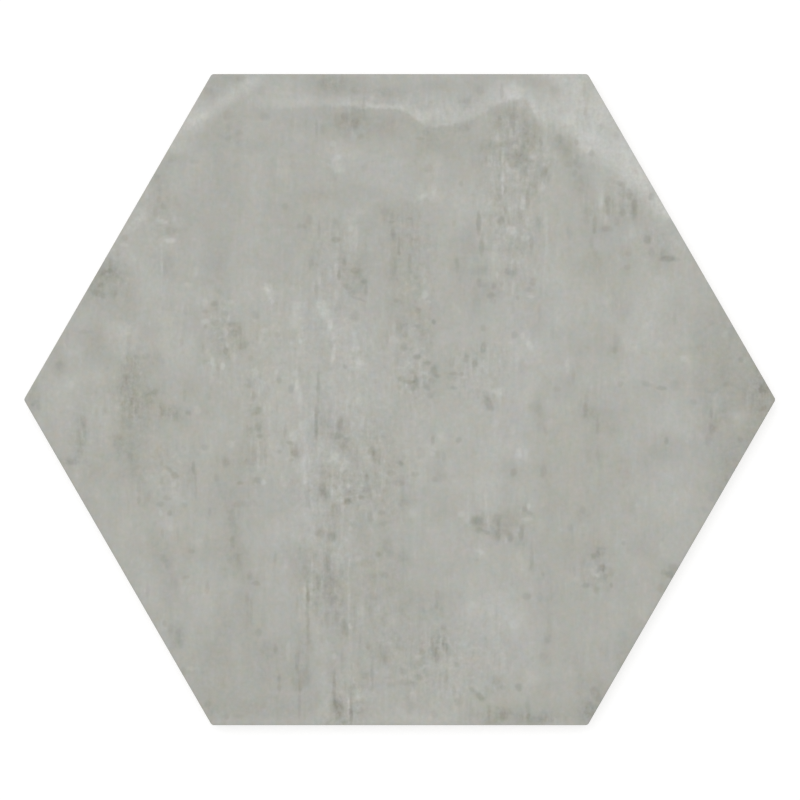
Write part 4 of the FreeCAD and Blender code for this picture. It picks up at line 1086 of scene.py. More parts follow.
@dataclass(frozen=True)
class Tide:
    """The ragged crest where a cement wash dried across the top of the print.

    Each row of the crest is a place along it, the height of its lower edge, how bright it is
    there and how far the bright band reaches upwards.
    """

    crest: tuple[tuple[float, float, float, float], ...] = (
        (240, 106, 2, 12),
        (265, 108, 4, 12),
        (300, 108, 6, 12),
        (330, 107, 8, 8),
        (345, 107, 12, 8),
        (365, 109, 14, 6),
        (400, 111, 14, 6),
        (412, 117, 12, 10),
        (424, 125, 14, 14),
        (458, 125, 14, 14),
        (475, 119, 9, 14),
        (490, 109, 10, 20),
        (512, 101, 14, 18),
        (528, 103, 13, 22),
        (540, 124, 11, 60),
        (552, 126, 14, 110),
        (574, 134, 16, 110),
        (582, 152, 17.5, 110),
        (600, 162, 18, 110),
        (625, 182, 19, 110),
        (645, 198, 20, 90),
        (672, 220, 15, 60),
    )
    top_px: float = 60.0
    bottom_px: float = 240.0
    brightest: float = 30.0
    widest_px: float = 120.0
    edge_px: float = 3.0  # width of its lower edge, which grows with its reach
    edge_growth: float = 0.2
    fade: Point = (0.3, 1.5)  # shares of the reach between which it fades upwards
    fade_left: float = 0.15  # what is left of it above them
    ends: Point = (0.05, 0.03)  # shares of its length over which it starts and stops
    ragged_mm: float = 2.0
    streaked_mm: float = 0.2
    broken: float = 0.8


@dataclass(frozen=True)
class Lift:
    """How the dark grey of the print turns to light: stops from a tone to a display colour."""

    range_steps: float = 32.0
    stops: tuple[tuple[float, tuple[float, float, float]], ...] = (
        (-32.0, (139.0, 138.6, 129.5)),
        (-12.0, (160.2, 160.2, 152.4)),
        (0.0, (172.0, 172.0, 165.2)),
        (12.0, (183.8, 184.4, 178.4)),
        (32.0, (204.0, 205.0, 199.4)),
    )


class ConcretePrint:
    """The print's colour. Tones are steps of an 8-bit grey from the print's middle one."""

    tide = Tide()
    lift = Lift()
    shake_mm = 3.0  # grain of the noise that makes outlines ragged
    grit_mm = 1.6  # grain of the noise that breaks up clouds, stains and the crest
    fine_keep = 0.7
    stain_grain = 2.0
    stain_lines = 0.5
    cloud_grain = 1.0
    broad_mottles_mm = ((24.0, 0.5, 0.65), (9.0, 1.0, 0.65))  # grain, strength, width over height
    fine_mottles_mm = ((4.2, 2.6, 0.65), (1.7, 2.8, 0.9), (0.9, 1.5, 1.0))
    mottle_move = (7, 3)  # grains by which a layer is moved, so that no two line up
    calm_grain = 0.48
    worked_grain = 0.85
    peak_base = 0.35
    peak_gain = 6.0
    streaks_mm = (  # width, length, lean in degrees and strength
        (0.8, 5.0, 1.5, 0.6),
        (1.4, 6.0, -2.0, 0.8),
        (2.2, 15.0, 1.0, 0.9),
        (4.5, 34.0, -1.0, 0.8),
    )
    streak_tone = 3.0
    streak_move = 5  # widths by which a layer is moved
    streak_bend = (0.8, 0.4)  # how far noise pushes a streak, in widths and lengths
    patch_mm = 11.0  # grain of the patches with weaker or stronger streaks
    patch_range = (0.35, 0.65)
    patch_strength = (0.35, 1.65)
    hues_mm = ((2.6, 0.05, 0.05), (9.0, 0.03, 0.03))  # grain, shift of red and of blue
    hue_move = (0, 70, 0)
    warm_shift = (0.0005, 0.0, -0.0055)

    def __init__(self, graph: Graph, flat: Socket) -> None:
        """Makes the noises that several parts of the print share.

        Args:
            graph: The material's node tree.
            flat: Place on the tile, in millimetres.
        """
        self.graph = graph
        self.flat = flat
        shake = graph.noise(flat, self.shake_mm, 2, self.fine_keep)["Color"]
        self.shake = graph.vector("SUBTRACT", shake, (0.5, 0.5, 0.5))
        grit = graph.noise(flat, self.grit_mm, 1, self.fine_keep)[0]
        self.grit = graph.math("SUBTRACT", grit, 0.5)
        self.streaks = self._streaks()

    def colour(self) -> Socket:
        """Draws the print: warmer where dark, cooler where light, with a little hue.

        Returns:
            Its colour.
        """
        graph, span = self.graph, self.lift.range_steps
        ramp = graph.add("ShaderNodeValToRGB", {
            "Fac": graph.math("MULTIPLY_ADD", self._tone(), 0.5 / span, 0.5)})
        stops = ramp.color_ramp.elements
        for number, (level, colour) in enumerate(self.lift.stops):
            spot = 0.5 + 0.5 * level / span
            stop = stops[number] if number < 2 else stops.new(spot)
            stop.position = spot
            stop.color = linear(*colour)
        colour = ramp.outputs[0]
        for grain, red, blue in self.hues_mm:
            spots = graph.noise(graph.vector("ADD", self.flat, self.hue_move), grain, 1)["Color"]
            hue = graph.vector("SUBTRACT", spots, (0.5, 0.5, 0.5))
            colour = graph.vector("MULTIPLY_ADD", hue, (red, 0.0, blue), colour)
        warmth = graph.stored(Layer.WARMTH.value)
        shift = graph.vector("MULTIPLY", graph.join(warmth, warmth, warmth), self.warm_shift)
        return graph.vector("ADD", colour, shift)

    def _tone(self) -> Socket:
        """Adds up clouds, stains, flecks, mottles, streaks and the crest.

        Returns:
            The print's tone.
        """
        graph, grit, streaks = self.graph, self.grit, self.streaks
        broken = graph.math("MULTIPLY_ADD", grit, self.stain_grain, 1.0)
        broken = graph.math("MULTIPLY_ADD", streaks, -self.stain_lines, broken)
        stains = graph.math("MULTIPLY", graph.stored(Layer.STAIN.value), broken)
        soft = graph.math("MULTIPLY_ADD", grit, self.cloud_grain, 1.0)
        clouds = graph.math("MULTIPLY", graph.stored(Layer.CLOUD.value), soft)
        tone = self._flecked(graph.math("ADD", stains, clouds))
        tone = self._mottled(tone, self.broad_mottles_mm)
        rough = self._mottled(0.0, self.fine_mottles_mm)
        rough = graph.math("MULTIPLY_ADD", streaks, self.streak_tone, rough)
        worked = graph.math("MULTIPLY_ADD", graph.stored(Layer.GRAIN.value),
                            self.worked_grain, self.calm_grain)
        tone = graph.math("MULTIPLY_ADD", rough, worked, tone)
        return graph.math("ADD", tone, self._crest())

    def _mottled(self, tone: object, mottles: tuple[tuple[float, float, float], ...]) -> Socket:
        """Adds layers of noise to a tone.

        Args:
            tone: The tone.
            mottles: Grain, strength and slimness of each layer.

        Returns:
            The mottled tone.
        """
        graph = self.graph
        for grain, strength, slim in mottles:
            move = (*(grain * grains for grains in self.mottle_move), 0)
            place = graph.vector("MULTIPLY_ADD", self.flat, (1, slim, 1), move)
            spots = self._peaked(graph.noise(place, grain)[0])
            tone = graph.math("MULTIPLY_ADD", spots, strength * 2, tone)
        return tone

    def _peaked(self, spots: Socket) -> Socket:
        """Weakens the weak parts of a noise and lets the strong ones stand out.

        Args:
            spots: The noise, from 0 to 1.

        Returns:
            The changed noise, around nothing.
        """
        graph = self.graph
        centred = graph.math("SUBTRACT", spots, 0.5)
        gain = graph.math("MULTIPLY_ADD", graph.math("ABSOLUTE", centred), self.peak_gain,
                          self.peak_base)
        return graph.math("MULTIPLY", centred, gain)

    def _flecked(self, tone: Socket) -> Socket:
        """Adds the small firm marks that the faces hold to a tone.

        Args:
            tone: The tone.

        Returns:
            The tone with its flecks.
        """
        graph, style = self.graph, STYLES[Layer.FLECK]
        at = graph.vector("MULTIPLY_ADD", self.shake, (style.ragged, style.ragged, 0), self.flat)
        for slot in range(FleckPlan.slots):
            middle, along, across = (
                graph.stored(name, "Vector") for name in FleckPlan.names(slot))
            away = graph.vector("SUBTRACT", at, middle)
            near = graph.join(graph.dot(away, along), graph.dot(away, across))
            fleck = graph.step(graph.length(near), 1 - style.edge, 1 + style.edge,
                               graph.split(middle)[2], 0.0)
            tone = graph.math("ADD", tone, fleck)
        return tone

    def _streaks(self) -> Socket:
        """Draws the upright dabs and streaks that the trowel left.

        Returns:
            Their strength, on both sides of nothing.
        """
        graph, bend = self.graph, self.streak_bend
        drawn = 0.0
        for width, length, lean, strength in self.streaks_mm:
            bent = graph.vector("MULTIPLY_ADD", self.shake,
                                (width * bend[0], length * bend[1], 0), self.flat)
            place = graph.add("ShaderNodeMapping", {
                "Vector": bent, "Location": (width * self.streak_move, 0, 0),
                "Rotation": (0, 0, math.radians(lean)), "Scale": (width, length, 1)},
                vector_type="TEXTURE").outputs[0]
            streak = self._peaked(graph.noise(place, 1.0)[0])
            drawn = graph.math("MULTIPLY_ADD", streak, strength, drawn)
        patches = graph.step(graph.noise(self.flat, self.patch_mm, 1)[0], *self.patch_range,
                             *self.patch_strength)
        return graph.math("MULTIPLY", drawn, patches)

    def _crest(self) -> Socket:
        """Draws the tide line: firm below, fading upwards.

        Returns:
            The tone that it adds.
        """
        graph, tide = self.graph, self.tide
        at = graph.vector("MULTIPLY_ADD", self.shake, (tide.ragged_mm, tide.ragged_mm, 0),
                          self.flat)
        wander = graph.math("MULTIPLY", self.streaks, tide.streaked_mm)
        axes = graph.split(graph.vector("ADD", at, graph.join(y=wander)))
        first, last = tide.crest[0][0], tide.crest[-1][0]
        start, end = PHOTO.on_tile((first, 0))[0], PHOTO.on_tile((last, 0))[0]
        top, bottom = (PHOTO.on_tile((0, y))[1] for y in (tide.top_px, tide.bottom_px))
        along = graph.math("DIVIDE", graph.math("SUBTRACT", axes[0], start), end - start)

        def drawn(column: int, low: float, high: float) -> Socket:
            """Curve of one of the crest's columns.

            Args:
                column: Which one.
                low: Its value at the curve's bottom.
                high: Its value at the curve's top.

            Returns:
                The column's value as a share between the two.
            """
            points = [((row[0] - first) / (last - first), (row[column] - low) / (high - low))
                      for row in tide.crest]
            return graph.curve(along, points)

        level = graph.math("MULTIPLY_ADD", drawn(1, tide.bottom_px, tide.top_px), top - bottom,
                           bottom)
        above = graph.math("MULTIPLY", graph.math("SUBTRACT", axes[1], level),
                           PHOTO.view_px_per_mm)
        reach = graph.math("MULTIPLY", drawn(3, 0, tide.widest_px), tide.widest_px)
        bright = graph.math("MULTIPLY", drawn(2, 0, tide.brightest), tide.brightest)
        soft = graph.math("MULTIPLY_ADD", reach, tide.edge_growth / 2, tide.edge_px / 2)
        rise = graph.step(above, graph.math("MULTIPLY", soft, -1.0), soft)
        fade = graph.step(graph.math("DIVIDE", above, reach), *tide.fade, 1.0, tide.fade_left)
        ends = graph.math("MULTIPLY", graph.step(along, 0.0, tide.ends[0]),
                          graph.step(along, 1.0, 1.0 + tide.ends[1], 1.0, 0.0))
        broken = graph.math("MULTIPLY_ADD", self.grit, tide.broken, 1.0)
        tone = graph.math("MULTIPLY", graph.math("MULTIPLY", rise, fade), bright)
        return graph.math("MULTIPLY", graph.math("MULTIPLY", tone, ends), broken)


@dataclass(frozen=True)
class Look:
    """What a finish shows at a place."""

    colour: Socket
    roughness: object
    height: Socket  # of its fine relief, as a share of the finish's own


class Finish:
    """A finish of the piece, as a material that reads the piece's own places."""

    name = ""
    specular = 0.0
    bump_height = 0.0

    def build(self) -> bpy.types.Material:
        """Makes the material.

        Returns:
            The finished material.
        """
        material = bpy.data.materials.new(self.name)
        material.use_nodes = True
        graph = Graph(material.node_tree)
        look = self._look(graph, graph.add("ShaderNodeTexCoord").outputs["Object"])
        bump = graph.add("ShaderNodeBump", {
            "Height": graph.math("MULTIPLY", look.height, self.bump_height), "Distance": 1.0})
        shader = graph.add("ShaderNodeBsdfPrincipled", {
            "Base Color": look.colour, "Roughness": look.roughness, "Normal": bump.outputs[0],
            "Specular IOR Level": self.specular})
        graph.add("ShaderNodeOutputMaterial", {"Surface": shader.outputs[0]})
        return material

    def _look(self, graph: Graph, place: Socket) -> Look:
        """What the finish shows, which each finish draws by itself."""
        raise NotImplementedError(self.name)


class FiredBody(Finish):
    """The unglazed porcelain of the sides and the back."""

    name = "fired_body"
    colour = linear(181, 175, 163)
    grain_colour = linear(150, 143, 131)
    dust_colour = linear(214, 211, 204)
    roughness = 0.85
    specular = 0.25
    bump_height = 0.02 * MM
    cloud_mm = 14
    grain_mm = 0.9
    grain_range = (0.55, 0.75)
    grain_share = 0.5
    land_mm = (0.05, 0.25)  # heights between which the moulding dust on the ribs ends
    dust_range = (0.35, 0.65)
    dust_share = (0.25, 0.8)

    def __init__(self) -> None:
        """Builds the colour group that the glaze shares."""
        self.group = self._make_group()

    def _make_group(self) -> bpy.types.NodeTree:
        """Makes the group that puts out the body's colour and its fine height.

        Returns:
            The group's tree.
        """
        group = NodeGroup("fired body colour", "ShaderNodeTree", {"Vector": SocketKind.VECTOR},
                          {"Color": SocketKind.COLOUR, "Height": SocketKind.FLOAT})
        graph = group.graph
        place = graph.add("ShaderNodeVectorMath", {
            0: group.given["Vector"], "Scale": 1 / MM}, operation="SCALE").outputs["Vector"]
        cloudy, grains = (
            graph.add("ShaderNodeTexNoise", {
                "Vector": place, "Scale": 1 / grain, "Detail": octaves}).outputs[0]
            for grain, octaves in ((self.cloud_mm, 3.0), (self.grain_mm, 2.0)))
        share = graph.math("MULTIPLY", graph.step(grains, *self.grain_range), self.grain_share)
        base = graph.blend(share, self.colour, self.grain_colour)
        land = graph.step(graph.split(place)[2], *self.land_mm, 1.0, 0.0)
        dust = graph.math("MULTIPLY", land,
                          graph.step(cloudy, *self.dust_range, *self.dust_share))
        colour = graph.blend(dust, base, self.dust_colour)
        return group.finish(Color=colour, Height=grains)

    def _look(self, graph: Graph, place: Socket) -> Look:
        """The body's own look."""
        body = graph.group(self.group, {"Vector": place})
        return Look(body["Color"], self.roughness, body["Height"])


class ConcreteGlaze(Finish):
    """The matt printed glaze of the face, which thins out over the arris."""

    name = SLOT
    roughness = (0.57, 0.67)
    specular = 0.35
    bump_height = 0.006 * MM
    relief_mm = 0.45
    relief_keep = 0.6
    sheen_mm = 6.0  # grain of the parts that are a little smoother or rougher
    sheen_keep = 0.7
    sheen_range = (0.3, 0.7)
    cover = (8.0 * MM, 8.4 * MM)  # heights between which the glaze comes to cover the body
    cover_mm = 2.5  # grain of the glaze's ragged edge
    cover_ragged = 0.5 * MM

    def __init__(self, body: FiredBody) -> None:
        """Keeps the body whose colour shows where the glaze ends."""
        self.body = body

    def _look(self, graph: Graph, place: Socket) -> Look:
        """Draws the print, and the body below the glaze's edge.

        Args:
            graph: The material's node tree.
            place: Place on the piece.

        Returns:
            The glaze's look.
        """
        flat = graph.vector("MULTIPLY", place, (1 / MM, 1 / MM, 0))
        height = graph.math("MULTIPLY_ADD", graph.noise(flat, self.cover_mm, 2)[0],
                            self.cover_ragged, graph.split(place)[2])
        body = graph.group(self.body.group, {"Vector": place})["Color"]
        colour = graph.blend(graph.step(height, *self.cover), body,
                             ConcretePrint(graph, flat).colour())
        sheen = graph.noise(flat, self.sheen_mm, 4, self.sheen_keep)[0]
        return Look(colour, graph.step(sheen, *self.sheen_range, *self.roughness),
                    graph.noise(flat, self.relief_mm, 2, self.relief_keep)[0])


# The tile

@dataclass(frozen=True)
class TileSizes:
    """Sizes of the pressed piece, in metres."""

    across_flats: float
    thickness: float
    corner_radius: float = 1.5 * MM
    arris_radius: float = 0.7 * MM
    draft_height: float = 4.0 * MM
    draft_inset: float = 0.3 * MM
    foot_chamfer: float = 0.8 * MM
    cell_rings: int = 8
    rim_width: float = 10.0 * MM
    rib_width: float = 2.6 * MM
    key_depth: float = 0.7 * MM
    cell_draft: float = math.radians(20.0)

    @property
    def apothem(self) -> float:
        """Reach from the centre to a side."""
        return self.across_flats / 2

    @property
    def cell_pitch(self) -> float:
        """Distance between two cells' middles, at which the rings fill the rim."""
        way = self.apothem - self.rim_width + self.rib_width / 2 * CORNER_PER_FLAT
        return way / (self.cell_rings / CORNER_PER_FLAT + CORNER_PER_FLAT / 2)

    @property
    def foot_inset(self) -> float:
        """How far the back's outline lies inside the tile's."""
        return self.draft_inset + self.foot_chamfer

    @property
    def bevel_top(self) -> Point:
        """Where the foot's bevel meets the draft.

        Returns:
            Inset and height.
        """
        slope = self.draft_inset / self.draft_height
        height = self.foot_chamfer / (1 - slope)
        return self.draft_inset - slope * height, height


@dataclass(frozen=True)
class PieceMap:
    """The piece's own map, with the face, the back and the sides side by side.

    Places and widths on the map are shares of it.
    """

    sizes: TileSizes
    face_width: float = 0.79
    face_middle: Point = (0.4, 0.645)
    back_width: float = 0.33
    back_middle: Point = (0.2, 0.148)
    side_width: float = 0.48
    side_middle: float = 0.64
    side_start: float = 0.02
    side_pitch: float = 0.045
    side_height: float = 0.04
    side_bottom: float = 0.001 * MM  # height up to which a face is the foot's
    side_depth: float = 2.0 * MM  # how far inside the outline a side's faces may lie
    side_lean: float = 0.9  # up or down part of a normal, below which a face is a side's

    def lay(self, mesh: bpy.types.Mesh) -> None:
        """Lays a mesh out.

        Args:
            mesh: The piece's mesh.
        """
        sizes = self.sizes
        width = sizes.across_flats * CORNER_PER_FLAT
        owner = np.repeat(np.arange(len(mesh.polygons)), counts(mesh.polygons, "loop_total"))
        x, y, z = vectors(mesh.vertices, "co")[counts(mesh.loops, "vertex_index")].T
        normal = vectors(mesh.polygons, "normal")[owner]
        centre = vectors(mesh.polygons, "center")[owner]
        face = centre[:, 2] > sizes.thickness - sizes.arris_radius / 2
        edge = ~face & (centre[:, 2] > self.side_bottom) & (
            np.abs(normal[:, 2]) < self.side_lean) & (
            self._flat_reach(centre) > sizes.apothem - self.side_depth)
        u = np.where(face, self.face_middle[0] + x * (self.face_width / width),
                     self.back_middle[0] - x * (self.back_width / width))
        v = np.where(face, self.face_middle[1] + y * (self.face_width / width),
                     self.back_middle[1] + y * (self.back_width / width))
        step = 360 / SIDES
        side = np.floor(np.degrees(np.arctan2(centre[:, 1], centre[:, 0])) % 360 / step)
        turn = np.radians((side + 0.5) * step)
        along = y * np.cos(turn) - x * np.sin(turn)
        u = np.where(edge, self.side_middle + along * self.side_width / width, u)
        v = np.where(edge, self.side_start + side * self.side_pitch
                     + z * self.side_height / sizes.thickness, v)
        layer = mesh.uv_layers.new(name="OFBake")
        layer.data.foreach_set("uv", np.column_stack([u, v]).ravel())

    @staticmethod
    def _flat_reach(points: np.ndarray) -> np.ndarray:
        """Measures points towards the sides that they are nearest to.

        Args:
            points: The points.

        Returns:
            Each one's reach.
        """
        turns = [side_turn(side) for side in range(SIDES)]
        ways = np.array([(math.cos(turn), math.sin(turn)) for turn in turns])
        return (points[:, :2] @ ways.T).max(axis=1)


@dataclass
class PressedTile:
    """The whole piece: face, edges and back in one closed mesh."""

    sizes: TileSizes
    face_divisions: int = 150
    arris_steps: int = 7
    corner_steps: int = 8
    sharp_turn: float = math.radians(30.0)
    relief_fade: float = 4.0 * MM  # inset at which the face's relief has its full depth
    relief_start: float = 1.5 * MM  # inset at which it begins
    undulation: float = 0.030 * MM
    undulation_grain: float = 35.0 * MM
    grain_depth: float = 0.010 * MM
    grain: float = 3.0 * MM
    keep: float = 0.6  # how much of a layer's strength the relief's next finer one keeps
    seed: float = 4.0
    glaze_line: float = 5.0 * MM  # height above which the faces have the glaze
    face_slack: float = 0.01 * MM  # how far below the face its points may lie

    def build(self, glaze: bpy.types.Material, body: bpy.types.Material) -> bpy.types.Object:
        """Makes the tile and its two finishes' places on it.

        Args:
            glaze: Material of the face.
            body: Material of the sides and the back.

        Returns:
            The finished piece, with its place in its mesh.
        """
        mesh = self._relief(self._closed_shell(body), glaze, body)
        PieceMap(self.sizes).lay(mesh)
        PrintPlan(mesh).store()
        FleckPlan(mesh).store()
        mesh.polygons.foreach_set("use_smooth", [True] * len(mesh.polygons))
        mesh.set_sharp_from_angle(angle=self.sharp_turn)
        tile = bpy.data.objects.new("fired_tile", mesh)
        bpy.context.scene.collection.objects.link(tile)
        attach(tile, BODY)
        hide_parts(NODE)
        return tile

    def _lattice(self) -> tuple[dict[tuple[int, int], int], np.ndarray]:
        """Points of the face on an even triangular lattice, whose corners are the middles
        of the upright roundings.

        Returns:
            Number of each point by its column and row, and the points.
        """
        count = self.face_divisions
        step = (self.sizes.apothem - self.sizes.corner_radius) * CORNER_PER_FLAT / count
        numbers, points = {}, []
        for row in range(-count, count + 1):
            for column in range(max(-count, -count - row), min(count, count - row) + 1):
                numbers[column, row] = len(points)
                points.append(((column + row / 2) * step, row * step / CORNER_PER_FLAT,
                               self.sizes.thickness))
        return numbers, np.array(points)

    def _rim_walk(self, numbers: dict[tuple[int, int], int]
                  ) -> tuple[list[int], np.ndarray]:
        """Walks once round the lattice and looks outwards.

        Args:
            numbers: Number of each lattice point.

        Returns:
            Lattice point behind each point of an outer ring, and the way out from it.
        """
        count = self.face_divisions
        corners = ((1, 0), (0, 1), (-1, 1), (-1, 0), (0, -1), (1, -1))
        anchors, ways = [], []
        for side, corner in enumerate(corners):
            after = corners[(side + 1) % SIDES]
            turn = side_turn(side)
            for step in range(count + 1):
                anchors.append(numbers[
                    corner[0] * (count - step) + after[0] * step,
                    corner[1] * (count - step) + after[1] * step])
                ways.append(turn)
            for step in range(1, self.corner_steps):
                anchors.append(anchors[-1])
                ways.append(turn + 2 * math.pi / SIDES * step / self.corner_steps)
        return anchors, np.array([(math.cos(way), math.sin(way)) for way in ways])

    def _profile(self) -> list[Point]:
        """Section of the edge, from the face down to the foot.

        Returns:
            Inset and height of each ring.
        """
        sizes = self.sizes
        rings = []
        for step in range(self.arris_steps + 1):
            turn = math.pi / 2 * step / self.arris_steps
            rings.append((sizes.arris_radius * (1 - math.sin(turn)),
                          sizes.thickness - sizes.arris_radius * (1 - math.cos(turn))))
        return rings + [(0.0, sizes.draft_height), sizes.bevel_top, (sizes.foot_inset, 0.0)]

    def _closed_shell(self, body: bpy.types.Material) -> bpy.types.Mesh:
        """Welds face, edges and keyed back into one closed mesh.

        Args:
            body: Material of the back.

        Returns:
            The mesh, with a flat face.
        """
        numbers, lattice = self._lattice()
        anchors, ways = self._rim_walk(numbers)
        around = len(anchors)
        rings = []
        for inset, height in self._profile():
            ring = lattice[anchors, :2] + ways * (self.sizes.corner_radius - inset)
            rings.append(np.column_stack([ring, np.full(around, height)]))
        points = np.concatenate([lattice, *rings])
        faces = self._lattice_faces(numbers)
        first = len(lattice)
        for spot in range(around):
            after = (spot + 1) % around
            edge = [anchors[spot], first + spot, first + after, anchors[after]]
            faces.append(tuple(edge[:3]) if edge[0] == edge[3] else tuple(edge))
            for ring in range(len(rings) - 1):
                upper, lower = first + ring * around, first + (ring + 1) * around
                faces.append((upper + spot, lower + spot, lower + after, upper + after))
        shell = bpy.data.meshes.new("shell")
        shell.from_pydata(points.tolist(), [], faces)
        return self._close_back(shell, KeyedBack(self.sizes).build(body))

    @staticmethod
    def _lattice_faces(numbers: dict[tuple[int, int], int]) -> list[tuple[int, ...]]:
        """Joins the lattice's points.

        Args:
            numbers: Number of each lattice point.

        Returns:
            The triangles, with their fronts upwards.
        """
        faces = []
        for (column, row), here in numbers.items():
            right = numbers.get((column + 1, row))
            above = numbers.get((column, row + 1))
            below = numbers.get((column + 1, row - 1))
            if right is not None and above is not None:
                faces.append((here, right, above))
            if right is not None and below is not None:
                faces.append((here, below, right))
        return faces

    @staticmethod
    def _close_back(shell: bpy.types.Mesh, back: bpy.types.Mesh) -> bpy.types.Mesh:
        """Fills the plain rim between the foot and the honeycomb.

        Args:
            shell: Face and edges, open at the foot.
            back: Honeycomb with an open outline.

        Returns:
            The closed mesh, with its normals outwards.
        """
        welded = bmesh.new()
        welded.from_mesh(shell)
        welded.from_mesh(back)
        open_edges = [edge for edge in welded.edges if edge.is_boundary]
        bmesh.ops.triangle_fill(welded, edges=open_edges, use_beauty=True)
        bmesh.ops.recalc_face_normals(welded, faces=welded.faces)
        left = sum(1 for edge in welded.edges if not edge.is_manifold)
        LOG.info("closed the back: %d open edges left", left)
        closed = bpy.data.meshes.new("closed_shell")
        welded.to_mesh(closed)
        welded.free()
        for used in (shell, back):
            bpy.data.meshes.remove(used)
        return closed

    def _relief(self, shell: bpy.types.Mesh, glaze: bpy.types.Material,
                body: bpy.types.Material) -> bpy.types.Mesh:
        """Presses the shallow relief into the face and gives both finishes their faces.

        Args:
            shell: The closed mesh.
            glaze: Material of the face.
            body: Material of the sides and the back.

        Returns:
            The finished mesh.
        """
        numbers = {
            "Half Width": self.sizes.apothem, "Thickness": self.sizes.thickness,
            "Fade Start": self.relief_start, "Fade End": self.relief_fade,
            "Undulation": self.undulation, "Undulation Scale": 1 / self.undulation_grain,
            "Grain Depth": self.grain_depth, "Grain Scale": 1 / self.grain,
            "Seed": self.seed, "Glaze Line": self.glaze_line}
        finishes = {"Glaze": glaze, "Body": body}
        group = NodeGroup("pressed face relief", "GeometryNodeTree", {
            "Geometry": SocketKind.GEOMETRY, **dict.fromkeys(numbers, SocketKind.FLOAT),
            **dict.fromkeys(finishes, SocketKind.MATERIAL)},
            {"Geometry": SocketKind.GEOMETRY})
        graph, given = group.graph, group.given
        place = graph.add("GeometryNodeInputPosition").outputs[0]
        height = graph.split(place)[2]
        on_face = graph.above(
            height, graph.math("SUBTRACT", given["Thickness"], self.face_slack))
        moved = graph.add("GeometryNodeSetPosition", {
            "Geometry": given["Geometry"], "Selection": on_face,
            "Offset": graph.join(z=self._dip(graph, given, place))}).outputs[0]
        real = graph.add("GeometryNodeRealizeInstances", {"Geometry": moved}).outputs[0]
        bare = graph.dressed(real, given["Body"])
        glazed = graph.above(height, given["Glaze Line"])
        group.finish(Geometry=graph.dressed(bare, given["Glaze"], glazed))
        return group.make("fired_tile", shell, {**numbers, **finishes})

    def _dip(self, graph: Graph, given: bpy.types.NodeOutputs, place: Socket) -> Socket:
        """Draws the face's relief, which fades towards the sides.

        Args:
            graph: The group's tree.
            given: The group's inputs.
            place: Place of a point.

        Returns:
            How far the point moves up, which is less than nothing.
        """
        reach = 0.0
        for side in range(SIDES // 2):
            way = graph.dot(place, (math.cos(side_turn(side)), math.sin(side_turn(side)), 0))
            reach = graph.math("MAXIMUM", reach, graph.math("ABSOLUTE", way))
        inset = graph.math("SUBTRACT", given["Half Width"], reach)
        fade = graph.step(inset, given["Fade Start"], given["Fade End"])
        layers = []
        for depth, scale, octaves in (("Undulation", "Undulation Scale", 1.0),
                                      ("Grain Depth", "Grain Scale", 2.0)):
            spots = graph.add("ShaderNodeTexNoise", {
                "Vector": place, "W": given["Seed"], "Scale": given[scale], "Detail": octaves,
                "Roughness": self.keep}, noise_dimensions="4D").outputs[0]
            layers.append(graph.math("MULTIPLY", spots, given[depth]))
        lower = graph.math("MULTIPLY", graph.math("ADD", *layers), fade)
        return graph.math("MULTIPLY", lower, -1.0)


